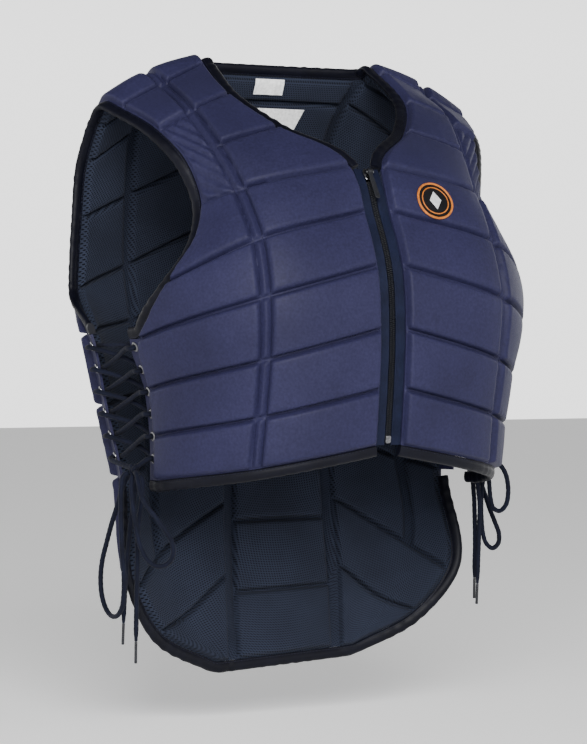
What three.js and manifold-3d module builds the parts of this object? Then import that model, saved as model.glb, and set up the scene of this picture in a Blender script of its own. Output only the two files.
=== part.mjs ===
// Riding body protector: a vest of foam blocks quilted between a satin cover and a mesh lining.
// It closes with a front zip, laces at both sides, and drops to a long rounded tail behind.
// Millimetres. +Z is up, the wearer faces -Y, and +X is the wearer's left.
// The origin lies midway between the shoulder straps, at the height where their inner
// faces rest on the shoulders.
import * as THREE from "three";
import { mergeVertices } from "three/addons/utils/BufferGeometryUtils.js";
import Module from "manifold-3d";

const wasm = await Module();
wasm.setup();

// Driving sizes of the torso form
const HALF_CHEST = 200;
const FRONT_REACH = 180;
const BACK_REACH = 100;
const FRONT_LENGTH = 370;
const BACK_LENGTH = 560;

// Padding: each layer is half of the block's thickness, cover outside and lining inside
const BLOCK_HALF = 9;
const WEB_HALF = 2.5;
const PULLED_HALF = 4.5;
const BLOCK_BEVEL = 5;
const SPINE_STRIP = 8;
const CLEARANCE = 0.3;

// Edge binding
const BINDING_WIDTH = 11;
const BINDING_HALF = 3.4;
const BINDING_GAP = 1;

// Side lacing
const FLANGE = 17;
const EYELET_INSET = 9;
const EYELET_COUNT = 6;
const FRONT_EYELETS = [0.054, 0.846];
const BACK_EYELETS = [0.081, 0.85];
const EYELET_OUTER = 4.8;
const EYELET_HOLE = 3;
const EYELET_THICK = 1.2;
const EYELET_SIDES = 10;
const LACE_DIAMETER = 4.5;
const LACE_SIDES = 8;
const AGLET_LENGTH = 20;
const AGLET_DIAMETER = 4.9;

// Zip
const ZIP_HALF_GAP = 13;
const TAPE_THICK = 1.6;
const CHAIN_HALF_WIDTH = 3;
const CHAIN_THICK = 2.8;
const SLIDER_WIDTH = 10;
const SLIDER_LENGTH = 12;
const SLIDER_PLATE = 1.6;
const PIN_DIAMETER = 1.6;
const PULL_WIDTH = 5;
const PULL_LENGTH = 30;
const PULL_THICK = 1.6;
const STOP_WIDTH = 5.4;
const STOP_LENGTH = 7;

// The tail hangs a little to the wearer's right and lower there
const TAIL_SWAY = 6;
const TAIL_TILT = 9;
const TAIL_TILT_REACH = 75;
const TAIL_HANG_FROM = 0.72;

// Labels and patch
const LABEL_THICK = 1;
const NECK_LABEL_WIDTH = 32;
const NECK_LABEL_HEIGHT = 17;
const HANG_LABEL_TOP = 62;
const HANG_LABEL_BOTTOM = 34;
const HANG_LABEL_HEIGHT = 36;
const PATCH_DIAMETER = 38;
const PATCH_THICK = 1.8;
const PATCH_SIDES = 28;

// The strap's inner face at mid-strap is where the vest sits
const STRAP_DROP = 20;
const SEAT_DEPTH = STRAP_DROP + BLOCK_HALF;

// Sections of one front half, from the shoulder seam to the hem.
// quilted is 1 where a groove runs along the section. inner, seam and outer are the places of the
// zip or neck edge, the column seam and the armhole or lacing edge: x as a share of HALF_CHEST,
// y of FRONT_REACH, and the depth below the shoulder of FRONT_LENGTH. start and end are the
// directions in plan, in degrees, in which the section leaves its inner end and meets its outer.
const FRONT_COLUMNS = ["name", "quilted", "inner", "seam", "outer", "start", "end"];
const FRONT_SECTIONS = [
  ["shoulder_seam", 1, [0.455, 0.167, 0.019], [0.73, 0.2, 0.081], [0.95, 0.211, 0.162], 8, 3],
  ["crest", 0, [0.46, 0.089, 0.003], [0.725, 0.078, 0.051], [0.95, 0.078, 0.119], 0, 0],
  ["strap_1", 1, [0.465, 0.022, 0.022], [0.7, -0.011, 0.081], [0.915, -0.033, 0.141], -8, -3],
  ["strap_2", 1, [0.465, -0.261, 0.108], [0.685, -0.311, 0.157], [0.835, -0.289, 0.203], -12, 12],
  ["strap_3", 1, [0.33, -0.511, 0.195], [0.645, -0.506, 0.246], [0.765, -0.444, 0.278], -5, 30],
  ["row_a", 1, [0.08, -0.761, 0.292], [0.605, -0.689, 0.354], [0.73, -0.544, 0.384], 0, 54],
  ["arm_1", 0, [0.065, -0.828, 0.346], [0.603, -0.789, 0.414], [0.785, -0.606, 0.476], 0, 54],
  ["row_b", 1, [0.065, -0.878, 0.403], [0.6, -0.872, 0.476], [0.9, -0.567, 0.578], 0, 60],
  ["arm_2", 0, [0.065, -0.95, 0.468], [0.603, -0.928, 0.541], [0.95, -0.483, 0.643], 0, 66],
  ["row_c", 1, [0.065, -1.006, 0.535], [0.605, -0.961, 0.611], [0.955, -0.367, 0.708], 0, 80],
  ["row_d", 1, [0.065, -1.039, 0.686], [0.595, -0.939, 0.759], [0.88, -0.328, 0.832], 0, 90],
  ["row_e", 1, [0.065, -1.022, 0.83], [0.59, -0.883, 0.897], [0.855, -0.333, 0.949], 0, 90],
  ["hem", 1, [0.065, -0.989, 0.968], [0.595, -0.839, 1.022], [0.845, -0.317, 1.059], 0, 90],
];

// Sections of one back half, from the collar to the end of the tail. spine is the y and depth of
// the middle of the back, edge the y of the spine column's edge, and inner, seam and outer are the
// places where the side column starts, its seam, and the armhole, lacing or tail edge: x as a share
// of HALF_CHEST, y of BACK_REACH, depth of BACK_LENGTH.
const BACK_COLUMNS = ["name", "quilted", "spine", "edge", "inner", "seam", "outer", "start", "end"];
const BACK_SECTIONS = [
  ["collar", 1, [0.38, 0.014], 0.33, [0.455, 0.3, 0.0125], [0.73, 0.36, 0.0535], [0.95, 0.38, 0.107], 8, 3],
  ["yoke_1", 1, [0.49, 0.054], 0.475, [0.41, 0.47, 0.052], [0.73, 0.58, 0.111], [0.96, 0.58, 0.168], 0, 0],
  ["yoke_2", 1, [0.79, 0.179], 0.78, [0.34, 0.78, 0.157], [0.715, 0.77, 0.221], [0.975, 0.66, 0.264], 0, -20],
  ["arm", 0, [0.92, 0.239], 0.915, [0.31, 0.92, 0.218], [0.705, 0.86, 0.286], [0.985, 0.68, 0.325], -2, -28],
  ["blade", 1, [0.97, 0.3], 0.965, [0.285, 0.97, 0.275], [0.7, 0.87, 0.343], [1.0, 0.64, 0.386], -3, -38],
  ["pit", 1, [0.92, 0.421], 0.915, [0.275, 0.91, 0.389], [0.695, 0.78, 0.439], [1.02, 0.22, 0.461], -4, -75],
  ["waist_1", 1, [0.62, 0.543], 0.62, [0.275, 0.63, 0.512], [0.69, 0.55, 0.561], [0.945, 0.22, 0.58], -3, -75],
  ["waist_2", 1, [0.46, 0.662], 0.46, [0.28, 0.46, 0.632], [0.69, 0.4, 0.682], [0.87, 0.2, 0.7], -3, -75],
  ["tail_1", 1, [0.36, 0.78], 0.36, [0.29, 0.36, 0.748], [0.69, 0.2, 0.832], [0.85, -0.08, 0.875], -3, -50],
  ["tail_2", 1, [0.24, 0.895], 0.24, [0.3, 0.23, 0.864], [0.56, 0.14, 0.929], [0.695, 0.02, 0.946], -3, -24],
  ["tail_end", 1, [0.13, 1.002], 0.13, [0.3, 0.13, 1.002], [0.335, 0.12, 1.002], [0.375, 0.11, 1.0], 0, -5],
];

// Colours
const COVER = new THREE.MeshStandardMaterial({ color: 0x34345a, roughness: 0.5 });
const LINING = new THREE.MeshStandardMaterial({ color: 0x161d33, roughness: 0.85 });
const BINDING = new THREE.MeshStandardMaterial({ color: 0x15151f, roughness: 0.45 });
const LACE = new THREE.MeshStandardMaterial({ color: 0x171a2c, roughness: 0.75 });
const STEEL = new THREE.MeshStandardMaterial({ color: 0xc9ccd1, roughness: 0.25, metalness: 1 });
const TAPE = new THREE.MeshStandardMaterial({ color: 0x1b2350, roughness: 0.7 });
const CHAIN = new THREE.MeshStandardMaterial({ color: 0x22242a, roughness: 0.4 });
const LABEL = new THREE.MeshStandardMaterial({ color: 0xeceef2, roughness: 0.7 });
const PATCH = new THREE.MeshStandardMaterial({ color: 0x121214, roughness: 0.8 });

const vest = new THREE.Group();
vest.position.z = SEAT_DEPTH;

function named(columns, rows) {
  return rows.map((row) => Object.fromEntries(columns.map((key, k) => [key, row[k]])));
}

const fronts = named(FRONT_COLUMNS, FRONT_SECTIONS);
const backs = named(BACK_COLUMNS, BACK_SECTIONS);

function place([x, y, depth], reach, length) {
  return new THREE.Vector3(x * HALF_CHEST, y * reach, -depth * length);
}

// A direction in plan at an angle, sloping as the chord from a to b does
function heading(degrees, a, b) {
  const angle = THREE.MathUtils.degToRad(degrees);
  const run = Math.hypot(b.x - a.x, b.y - a.y);
  return new THREE.Vector3(Math.cos(angle), Math.sin(angle), (b.z - a.z) / run).normalize();
}

// A smooth curve through points, with its direction at each point weighted by the chords there
function smooth(points, first, last) {
  const chords = points.slice(1).map((p, k) => p.clone().sub(points[k]));
  const lengths = chords.map((c) => c.length());
  const slopes = chords.map((c, k) => c.clone().divideScalar(lengths[k]));
  const tangents = points.map((p, k) => {
    if (k === 0) return first || slopes[0];
    if (k === points.length - 1) return last || slopes[k - 1];
    const sum = lengths[k - 1] + lengths[k];
    const before = slopes[k - 1].clone().multiplyScalar(lengths[k] / sum);
    return before.addScaledVector(slopes[k], lengths[k - 1] / sum);
  });
  return (u) => {
    const k = Math.min(Math.max(Math.floor(u), 0), chords.length - 1);
    const t = u - k;
    const point = points[k].clone().multiplyScalar((1 + 2 * t) * (1 - t) ** 2);
    point.addScaledVector(tangents[k], lengths[k] * t * (1 - t) ** 2);
    point.addScaledVector(points[k + 1], t * t * (3 - 2 * t));
    return point.addScaledVector(tangents[k + 1], lengths[k] * t * t * (t - 1));
  };
}

// The three-station curve across a half section, with the flat lacing flange beyond its end
function across(section, reach, length) {
  const stops = [section.inner, section.seam, section.outer].map((p) => place(p, reach, length));
  const first = heading(section.start, stops[0], stops[1]);
  const last = heading(section.end, stops[1], stops[2]);
  const curve = smooth(stops, first, last);
  const flat = new THREE.Vector3(last.x, last.y, 0).normalize();
  return (s) => (s <= 2 ? curve(s) : stops[2].clone().addScaledVector(flat, (s - 2) * FLANGE));
}

const frontCurves = fronts.map((row) => across(row, FRONT_REACH, FRONT_LENGTH));
const backSides = backs.map((row) => across(row, BACK_REACH, BACK_LENGTH));

// Stations of the back: 0 spine, 1 edge of the spine column, 2 start of the side column,
// 3 its seam, 4 the outer edge, 5 the edge of the lacing flange
const backCurves = backs.map((row, k) => {
  const [y, depth] = row.spine;
  const spine = place([0, y, depth], BACK_REACH, BACK_LENGTH);
  const start = backSides[k](0);
  const edge = place([0, row.edge, depth], BACK_REACH, BACK_LENGTH);
  edge.x = start.x - SPINE_STRIP;
  const middle = smooth([spine, edge], new THREE.Vector3(1, 0, 0), null);
  return (s) => {
    if (s <= 1) return middle(s);
    if (s <= 2) return edge.clone().lerp(start, s - 1);
    return backSides[k](s - 2);
  };
});

// The middle surface of a panel: place(i, s) at section i and station s, facing is its outward side
function surface(curves, facing) {
  const spot = (i, s) => {
    const at = smooth(curves.map((curve) => curve(s)), null, null);
    return at(i);
  };
  const step = 0.02;
  const top = curves.length - 1;
  const normal = (i, s) => {
    const low = spot(Math.max(i - step, 0), s);
    const down = spot(Math.min(i + step, top), s).sub(low);
    const side = spot(i, s + step).sub(spot(i, Math.abs(s - step) < step ? 0 : s - step));
    return down.cross(side).normalize().multiplyScalar(facing);
  };
  return { spot, normal };
}

const front = surface(frontCurves, 1);
const back = surface(backCurves, -1);

// Front and back share one direction along the shoulder seam
const SEAM_STEP = 0.02;
const SIDE_START = 2;

function facing(panel, i, s) {
  const across = panel === front ? s : s - SIDE_START;
  if (i > SEAM_STEP || across < 0) return panel.normal(i, s);
  return front.normal(i, across).add(back.normal(i, across + SIDE_START)).normalize();
}

// The point at a height above the middle surface; negative stations are the wearer's right half
function raised(panel, i, s, height) {
  const point = panel.spot(i, Math.abs(s)).addScaledVector(facing(panel, i, Math.abs(s)), height);
  if (s < 0) point.x = -point.x;
  return point;
}

// The same on the flat facets between the sections
function onFacet(panel, i, s, height) {
  const row = Math.floor(i);
  if (i === row || i === SEAM_STEP) return raised(panel, i, s, height);
  return raised(panel, row, s, height).lerp(raised(panel, row + 1, s, height), i - row);
}

class Faces {
  constructor() {
    this.corners = [];
  }

  // The diagonal of a face on the wearer's right mirrors the one on the left
  quad(a, b, c, d) {
    if (a.x + b.x + c.x + d.x < 0) this.corners.push(a, b, d, b, c, d);
    else this.corners.push(a, b, c, a, c, d);
  }

  fan(ring) {
    for (let k = 1; k < ring.length - 1; k++) this.corners.push(ring[0], ring[k], ring[k + 1]);
  }

  // Closed rings of points one after the other, joined and capped at both ends
  sweep(rings) {
    for (let k = 0; k < rings.length - 1; k++) {
      const count = rings[k].length;
      for (let j = 0; j < count; j++) {
        const next = (j + 1) % count;
        this.quad(rings[k][j], rings[k][next], rings[k + 1][next], rings[k + 1][j]);
      }
    }
    this.fan([...rings[0]].reverse());
    this.fan(rings[rings.length - 1]);
    return this;
  }

  geometry() {
    let volume = 0;
    for (let k = 0; k < this.corners.length; k += 3) {
      const [a, b, c] = this.corners.slice(k, k + 3);
      volume += a.dot(b.clone().cross(c));
    }
    const flat = [];
    for (let k = 0; k < this.corners.length; k += 3) {
      const [a, b, c] = this.corners.slice(k, k + 3);
      const order = volume > 0 ? [a, b, c] : [a, c, b];
      order.forEach((p) => flat.push(p.x, p.y, p.z));
    }
    const made = new THREE.BufferGeometry();
    made.setAttribute("position", new THREE.Float32BufferAttribute(flat, 3));
    made.computeVertexNormals();
    return made;
  }
}

function mirrored(geometry) {
  const copy = geometry.index ? geometry.toNonIndexed() : geometry.clone();
  const spots = copy.getAttribute("position");
  for (let k = 0; k < spots.count; k += 3) {
    const corner = [0, 1, 2].map((j) => new THREE.Vector3().fromBufferAttribute(spots, k + j));
    [corner[0], corner[2], corner[1]].forEach((p, j) => spots.setXYZ(k + j, -p.x, p.y, p.z));
  }
  copy.computeVertexNormals();
  return copy;
}

// Shifts the part of a shape that lies in the hanging tail
function hung(geometry) {
  const spots = geometry.getAttribute("position");
  const from = TAIL_HANG_FROM * BACK_LENGTH;
  for (let k = 0; k < spots.count; k++) {
    const share = THREE.MathUtils.clamp((-spots.getZ(k) - from) / (BACK_LENGTH - from), 0, 1);
    const across = THREE.MathUtils.clamp(spots.getX(k) / TAIL_TILT_REACH, -1, 1);
    spots.setX(k, spots.getX(k) - share * TAIL_SWAY);
    spots.setZ(k, spots.getZ(k) - (share * TAIL_TILT * (1 - across)) / 2);
  }
  geometry.computeVertexNormals();
  return geometry;
}

function add(name, geometry, material) {
  const mesh = new THREE.Mesh(geometry, material);
  mesh.name = name;
  vest.add(mesh);
  return mesh;
}

function addPair(name, geometry, material, tail = "") {
  add(name + "_left" + tail, geometry, material);
  add(name + "_right" + tail, mirrored(geometry), material);
}

// Solid and geometry turned into each other, for cuts and joins
function toSolid(geometry) {
  const bare = new THREE.BufferGeometry();
  const spots = geometry.index ? geometry.toNonIndexed() : geometry;
  bare.setAttribute("position", spots.getAttribute("position").clone());
  const merged = mergeVertices(bare, 1e-4);
  return new wasm.Manifold(
    new wasm.Mesh({
      numProp: 3,
      vertProperties: merged.getAttribute("position").array,
      triVerts: new Uint32Array(merged.index.array),
    }),
  );
}

function toGeometry(solid) {
  const mesh = solid.getMesh();
  const made = new THREE.BufferGeometry();
  made.setAttribute("position", new THREE.BufferAttribute(mesh.vertProperties, 3));
  made.setIndex(new THREE.BufferAttribute(mesh.triVerts, 1));
  made.computeVertexNormals();
  return made;
}

// One padded layer over a lattice of sections and stations.
// cells(i, j) says whether the cell belongs to the layer, side is 1 for the cover and -1 for the
// lining, and each block is { rows: [i0, i1], lines: [j0, j1], half } in lattice numbers.
function padLayer(panel, rows, lines, cells, blocks, side) {
  const faces = new Faces();
  const web = (a, b) => raised(panel, rows[a], lines[b], side * WEB_HALF);
  const inside = (a, b) => raised(panel, rows[a], lines[b], (side * CLEARANCE) / 2);
  const covered = new Set();
  const ringOf = (i, j) => [[i, j], [i, j + 1], [i + 1, j + 1], [i + 1, j]];
  const key = (i, j) => i + "/" + j;

  for (const block of blocks) {
    const [i0, i1] = block.rows;
    const [j0, j1] = block.lines;
    const inset = (a, b) => {
      const here = raised(panel, rows[a], lines[b], 0);
      const pulled = (edge, from, to) => {
        const gap = here.distanceTo(raised(panel, ...to, 0));
        return from + (edge - from) * Math.min(BLOCK_BEVEL / gap, 0.45);
      };
      let i = rows[a];
      let s = lines[b];
      if (a === i0) i = pulled(rows[a + 1], rows[a], [rows[a + 1], lines[b]]);
      if (a === i1) i = pulled(rows[a - 1], rows[a], [rows[a - 1], lines[b]]);
      if (b === j0) s = pulled(lines[b + 1], lines[b], [rows[a], lines[b + 1]]);
      if (b === j1) s = pulled(lines[b - 1], lines[b], [rows[a], lines[b - 1]]);
      return raised(panel, i, s, side * block.half);
    };
    for (let i = i0; i < i1; i++) {
      for (let j = j0; j < j1; j++) {
        covered.add(key(i, j));
        faces.quad(...ringOf(i, j).map(([a, b]) => inset(a, b)));
        const ring = ringOf(i, j);
        const border = [i === i0, j + 1 === j1, i + 1 === i1, j === j0];
        border.forEach((open, k) => {
          if (!open) return;
          const from = ring[k];
          const to = ring[(k + 1) % 4];
          faces.quad(web(...from), web(...to), inset(...to), inset(...from));
        });
      }
    }
  }

  const owned = (i, j) => i >= 0 && j >= 0 && i < rows.length - 1 && j < lines.length - 1 && cells(i, j);
  for (let i = 0; i < rows.length - 1; i++) {
    for (let j = 0; j < lines.length - 1; j++) {
      if (!owned(i, j)) continue;
      const ring = ringOf(i, j);
      if (!covered.has(key(i, j))) faces.quad(...ring.map(([a, b]) => web(a, b)));
      faces.quad(...[...ring].reverse().map(([a, b]) => inside(a, b)));
      const beyond = [owned(i - 1, j), owned(i, j + 1), owned(i + 1, j), owned(i, j - 1)];
      beyond.forEach((shared, k) => {
        if (shared) return;
        const from = ring[k];
        const to = ring[(k + 1) % 4];
        faces.quad(web(...to), web(...from), inside(...from), inside(...to));
      });
    }
  }
  return faces.geometry();
}

// Front lattice: stations 0 inner, 1 column seam, 2 outer, 3 flange edge
const frontRows = fronts.map((row, k) => (k === 0 ? SEAM_STEP : k));
const frontLines = [0, 0.5, 1, 1.36, 1.7, 2, 3];
const rowNumber = (rows, name) => rows.findIndex((row) => row.name === name);
const ROW_A = rowNumber(fronts, "row_a");
const ROW_C = rowNumber(fronts, "row_c");
const STRAP_2 = rowNumber(fronts, "strap_2");
const STRAP_3 = rowNumber(fronts, "strap_3");
const HEM = fronts.length - 1;
const FLANGE_LINE = frontLines.length - 2;

function bands(rows, skipped) {
  const quilted = rows.map((row, k) => [row, k]).filter(([row, k]) => row.quilted && k !== skipped);
  return quilted.slice(1).map(([, k], n) => [quilted[n][1], k]);
}

const frontBlocks = [];
for (const span of bands(fronts, -1)) {
  frontBlocks.push({ rows: span, lines: [0, 2], half: BLOCK_HALF });
}
for (const span of bands(fronts, STRAP_3)) {
  const half = span[0] === STRAP_2 ? PULLED_HALF : BLOCK_HALF;
  frontBlocks.push({ rows: span, lines: [2, FLANGE_LINE], half });
}
const onFlange = (i) => i >= ROW_C;
const frontShell = (i, j) => j < FLANGE_LINE || onFlange(i);
const frontLiner = (i, j) => j < FLANGE_LINE;

// Back lattice over both halves
const backRows = backs.map((row, k) => (k === 0 ? SEAM_STEP : k));
const halfLines = [1, 2, 2.5, 3, 3.5, 4, 5];
const backLines = [...halfLines.map((s) => -s).reverse(), 0, ...halfLines];
const PIT = rowNumber(backs, "pit");
const WAIST_2 = rowNumber(backs, "waist_2");
const TAIL_1 = rowNumber(backs, "tail_1");
const TAIL_END = backs.length - 1;
const lineOf = (s) => backLines.indexOf(s);
const LAST_LINE = backLines.length - 2;

const backBlocks = [];
for (const span of bands(backs, -1)) {
  backBlocks.push({ rows: span, lines: [lineOf(-1), lineOf(1)], half: BLOCK_HALF });
  const inTail = span[0] >= TAIL_1;
  const columns = inTail ? [[2, 4]] : [[2, 3], [3, 4]];
  for (const [from, to] of columns) {
    backBlocks.push({ rows: span, lines: [lineOf(from), lineOf(to)], half: BLOCK_HALF });
    backBlocks.push({ rows: span, lines: [lineOf(-to), lineOf(-from)], half: BLOCK_HALF });
  }
}
const backShell = (i, j) => (j > 0 && j < LAST_LINE) || (i >= PIT && i < WAIST_2);
const backLiner = (i, j) => j > 0 && j < LAST_LINE;

// The section number where a station lies at a depth below the shoulder
function sectionAt(panel, s, depth, low, high) {
  let [a, b] = [low, high];
  for (let k = 0; k < 30; k++) {
    const middle = (a + b) / 2;
    if (panel.spot(middle, s).z > -depth) a = middle;
    else b = middle;
  }
  return (a + b) / 2;
}

// Places of the eyelets: point on the flange, its outward normal, and the way towards the gap.
// They lie on the flat facets between the sections, as the flange does. run gives the first and
// the last eyelet's depth as shares of the flange's own.
function eyeletPlaces(panel, outer, low, high, run) {
  const share = EYELET_INSET / FLANGE;
  const [top, bottom] = [low, high].map((i) => -panel.spot(i, outer + share).z);
  return Array.from({ length: EYELET_COUNT }, (_, k) => {
    const part = run[0] + ((run[1] - run[0]) * k) / (EYELET_COUNT - 1);
    const i = sectionAt(panel, outer + share, top + part * (bottom - top), low, high);
    const row = Math.floor(i);
    const edge = (s) => panel.spot(row, s).lerp(panel.spot(row + 1, s), i - row);
    const point = edge(outer).lerp(edge(outer + 1), share);
    const toGap = edge(outer + 1).sub(edge(outer)).normalize();
    const down = panel.spot(row + 1, outer + share).sub(panel.spot(row, outer + share));
    const normal = toGap.clone().cross(down).normalize();
    if (normal.dot(panel.normal(i, outer + share)) < 0) normal.negate();
    return { point, normal, toGap };
  });
}

const frontEyelets = eyeletPlaces(front, 2, ROW_C, HEM, FRONT_EYELETS);
const backEyelets = eyeletPlaces(back, 4, PIT, WAIST_2, BACK_EYELETS);

// A regular ring of points round an axis
function roundRing(centre, axis, radius, sides) {
  const turn = new THREE.Quaternion().setFromUnitVectors(new THREE.Vector3(0, 0, 1), axis);
  return Array.from({ length: sides }, (_, k) => {
    const angle = (2 * Math.PI * k) / sides;
    const spoke = new THREE.Vector3(Math.cos(angle) * radius, Math.sin(angle) * radius, 0);
    return spoke.applyQuaternion(turn).add(centre);
  });
}

function rod(from, to, radius, sides) {
  const axis = to.clone().sub(from).normalize();
  const rings = [roundRing(from, axis, radius, sides), roundRing(to, axis, radius, sides)];
  return new Faces().sweep(rings).geometry();
}

function eyeletHole({ point, normal }) {
  const reach = 2 * WEB_HALF;
  const from = point.clone().addScaledVector(normal, -reach);
  return rod(from, point.clone().addScaledVector(normal, reach), EYELET_HOLE, EYELET_SIDES);
}

function cutHoles(geometry, places) {
  let solid = toSolid(geometry);
  for (const spot of places) solid = solid.subtract(toSolid(eyeletHole(spot)));
  return toGeometry(solid);
}

const frontShellMesh = padLayer(front, frontRows, frontLines, frontShell, frontBlocks, 1);
addPair("front_shell", cutHoles(frontShellMesh, frontEyelets), COVER);
addPair("front_lining", padLayer(front, frontRows, frontLines, frontLiner, frontBlocks, -1), LINING);

const bothBackEyelets = backEyelets.flatMap((spot) => [
  spot,
  { point: spot.point.clone().setX(-spot.point.x), normal: spot.normal.clone().setX(-spot.normal.x) },
]);
const backShellMesh = padLayer(back, backRows, backLines, backShell, backBlocks, 1);
add("back_shell", hung(cutHoles(backShellMesh, bothBackEyelets)), COVER);
add("back_lining", hung(padLayer(back, backRows, backLines, backLiner, backBlocks, -1)), LINING);

// Eyelets: flat rings on the outer face of the flanges
function eyelet({ point, normal }) {
  const low = WEB_HALF + 2 * CLEARANCE;
  const levels = [
    [EYELET_HOLE, low],
    [EYELET_OUTER, low],
    [(EYELET_HOLE + EYELET_OUTER) / 2, low + EYELET_THICK],
  ];
  const rings = levels.map(([radius, height]) =>
    roundRing(point.clone().addScaledVector(normal, height), normal, radius, EYELET_SIDES),
  );
  const faces = new Faces();
  for (let k = 0; k < rings.length; k++) {
    const other = rings[(k + 1) % rings.length];
    for (let j = 0; j < EYELET_SIDES; j++) {
      const next = (j + 1) % EYELET_SIDES;
      faces.quad(rings[k][j], rings[k][next], other[next], other[j]);
    }
  }
  return faces.geometry();
}

frontEyelets.forEach((spot, k) => addPair("eyelet_front_" + (k + 1), eyelet(spot), STEEL));
backEyelets.forEach((spot, k) => addPair("eyelet_back_" + (k + 1), eyelet(spot), STEEL));

// Edge binding swept along panel edges.
// Each stop is { panel, i, s, into }, where into = [di, ds] points from the edge into the panel.
// A strip with both set runs on round the wearer's right half as a mirror of its left.
const BINDING_SECTION = [
  [BINDING_GAP, -WEB_HALF],
  [BINDING_WIDTH * 0.6, -BINDING_HALF],
  [BINDING_WIDTH, -BINDING_HALF * 0.5],
  [BINDING_WIDTH, BINDING_HALF * 0.5],
  [BINDING_WIDTH * 0.6, BINDING_HALF],
  [BINDING_GAP, WEB_HALF],
];
const INTO = 0.15;
const flipX = (p) => p.clone().setX(-p.x);

function binding(stops, both) {
  const points = stops.map(({ panel, i, s }) => onFacet(panel, i, s, 0));
  const all = both ? [...points, flipX(points[points.length - 2])] : points;
  const rings = stops.map(({ panel, i, s, into }, k) => {
    const along = all[Math.min(k + 1, all.length - 1)].clone().sub(all[Math.max(k - 1, 0)]).normalize();
    const up = onFacet(panel, i, s, 1).sub(points[k]);
    const out = points[k].clone().sub(onFacet(panel, i + into[0], s + into[1], 0));
    out.addScaledVector(along, -out.dot(along));
    out.addScaledVector(up, -out.dot(up)).normalize();
    return BINDING_SECTION.map(([e, n]) => points[k].clone().addScaledVector(out, e).addScaledVector(up, n));
  });
  const right = both ? rings.slice(0, -1).reverse().map((ring) => ring.map(flipX)) : [];
  return new Faces().sweep([...rings, ...right]).geometry();
}

const neckStops = [
  ...Array.from({ length: ROW_A }, (_, k) => ({ panel: front, i: ROW_A - k, s: 0, into: [0, INTO] })),
  { panel: front, i: SEAM_STEP, s: 0, into: [0, INTO] },
  ...[1, 0.5, 0].map((s) => ({ panel: back, i: 0, s, into: [INTO, 0] })),
];
add("neck_binding", binding(neckStops, true), BINDING);

const armholeStops = [
  { panel: front, i: ROW_C, s: 3, into: [INTO, 0] },
  { panel: front, i: ROW_C, s: 2, into: [INTO, -INTO] },
  ...Array.from({ length: ROW_C - 1 }, (_, k) => ({ panel: front, i: ROW_C - 1 - k, s: 2, into: [0, -INTO] })),
  { panel: front, i: SEAM_STEP, s: 2, into: [0, -INTO] },
  ...Array.from({ length: PIT - 1 }, (_, k) => ({ panel: back, i: k + 1, s: 4, into: [0, -INTO] })),
  { panel: back, i: PIT, s: 4, into: [INTO, -INTO] },
  { panel: back, i: PIT, s: 5, into: [INTO, 0] },
];
addPair("armhole_binding", binding(armholeStops, false), BINDING);

const hemStops = frontLines.map((s) => ({ panel: front, i: HEM, s, into: [-INTO, 0] }));
addPair("hem_binding", binding(hemStops, false), BINDING);

const tailStops = [
  { panel: back, i: WAIST_2 + 0.08, s: 4, into: [0, -INTO] },
  { panel: back, i: TAIL_1, s: 4, into: [0, -INTO] },
  { panel: back, i: TAIL_1 + 1, s: 4, into: [-INTO, -INTO] },
  { panel: back, i: TAIL_END, s: 4, into: [-INTO, -INTO] },
  ...[3.5, 3, 2.5, 2, 1, 0].map((s) => ({ panel: back, i: TAIL_END, s, into: [-INTO, 0] })),
];
add("tail_binding", hung(binding(tailStops, true)), BINDING);

// A round cord with a ring of its section at each point of its route
class Route extends THREE.CatmullRomCurve3 {
  getPointAt(u, target) {
    return this.getPoint(u, target);
  }

  getTangentAt(u, target) {
    return this.getTangent(u, target);
  }

  getSpacedPoints(divisions) {
    return this.getPoints(divisions);
  }
}

function cord(points, steps, even) {
  const path = even ? new THREE.CatmullRomCurve3(points) : new Route(points);
  const section = new THREE.Shape();
  for (let k = 0; k < LACE_SIDES; k++) {
    const angle = (2 * Math.PI * k) / LACE_SIDES;
    const spot = [(Math.cos(angle) * LACE_DIAMETER) / 2, (Math.sin(angle) * LACE_DIAMETER) / 2];
    if (k === 0) section.moveTo(...spot);
    else section.lineTo(...spot);
  }
  section.closePath();
  return new THREE.ExtrudeGeometry(section, { extrudePath: path, steps });
}

// Criss-cross lacing: a bar inside the top pair, then both strands cross the gap outside, pass
// under the other edge and come up through the next eyelet, down to the knot of the bow
const LACE_RADIUS = LACE_DIAMETER / 2;
const OVER = WEB_HALF + 2 * CLEARANCE + EYELET_THICK + LACE_RADIUS + 0.5;
const UNDER = -(LACE_RADIUS + 0.9);
const EDGE_REACH = FLANGE - EYELET_INSET + 0.5;
const CROSS_LIFT = LACE_RADIUS + 0.2;
const KNOT_RADIUS = 6.5;
const KNOT_PLACE = [0.93, -0.2, 1.032];
const KNOT = place(KNOT_PLACE, FRONT_REACH, FRONT_LENGTH);

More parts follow.
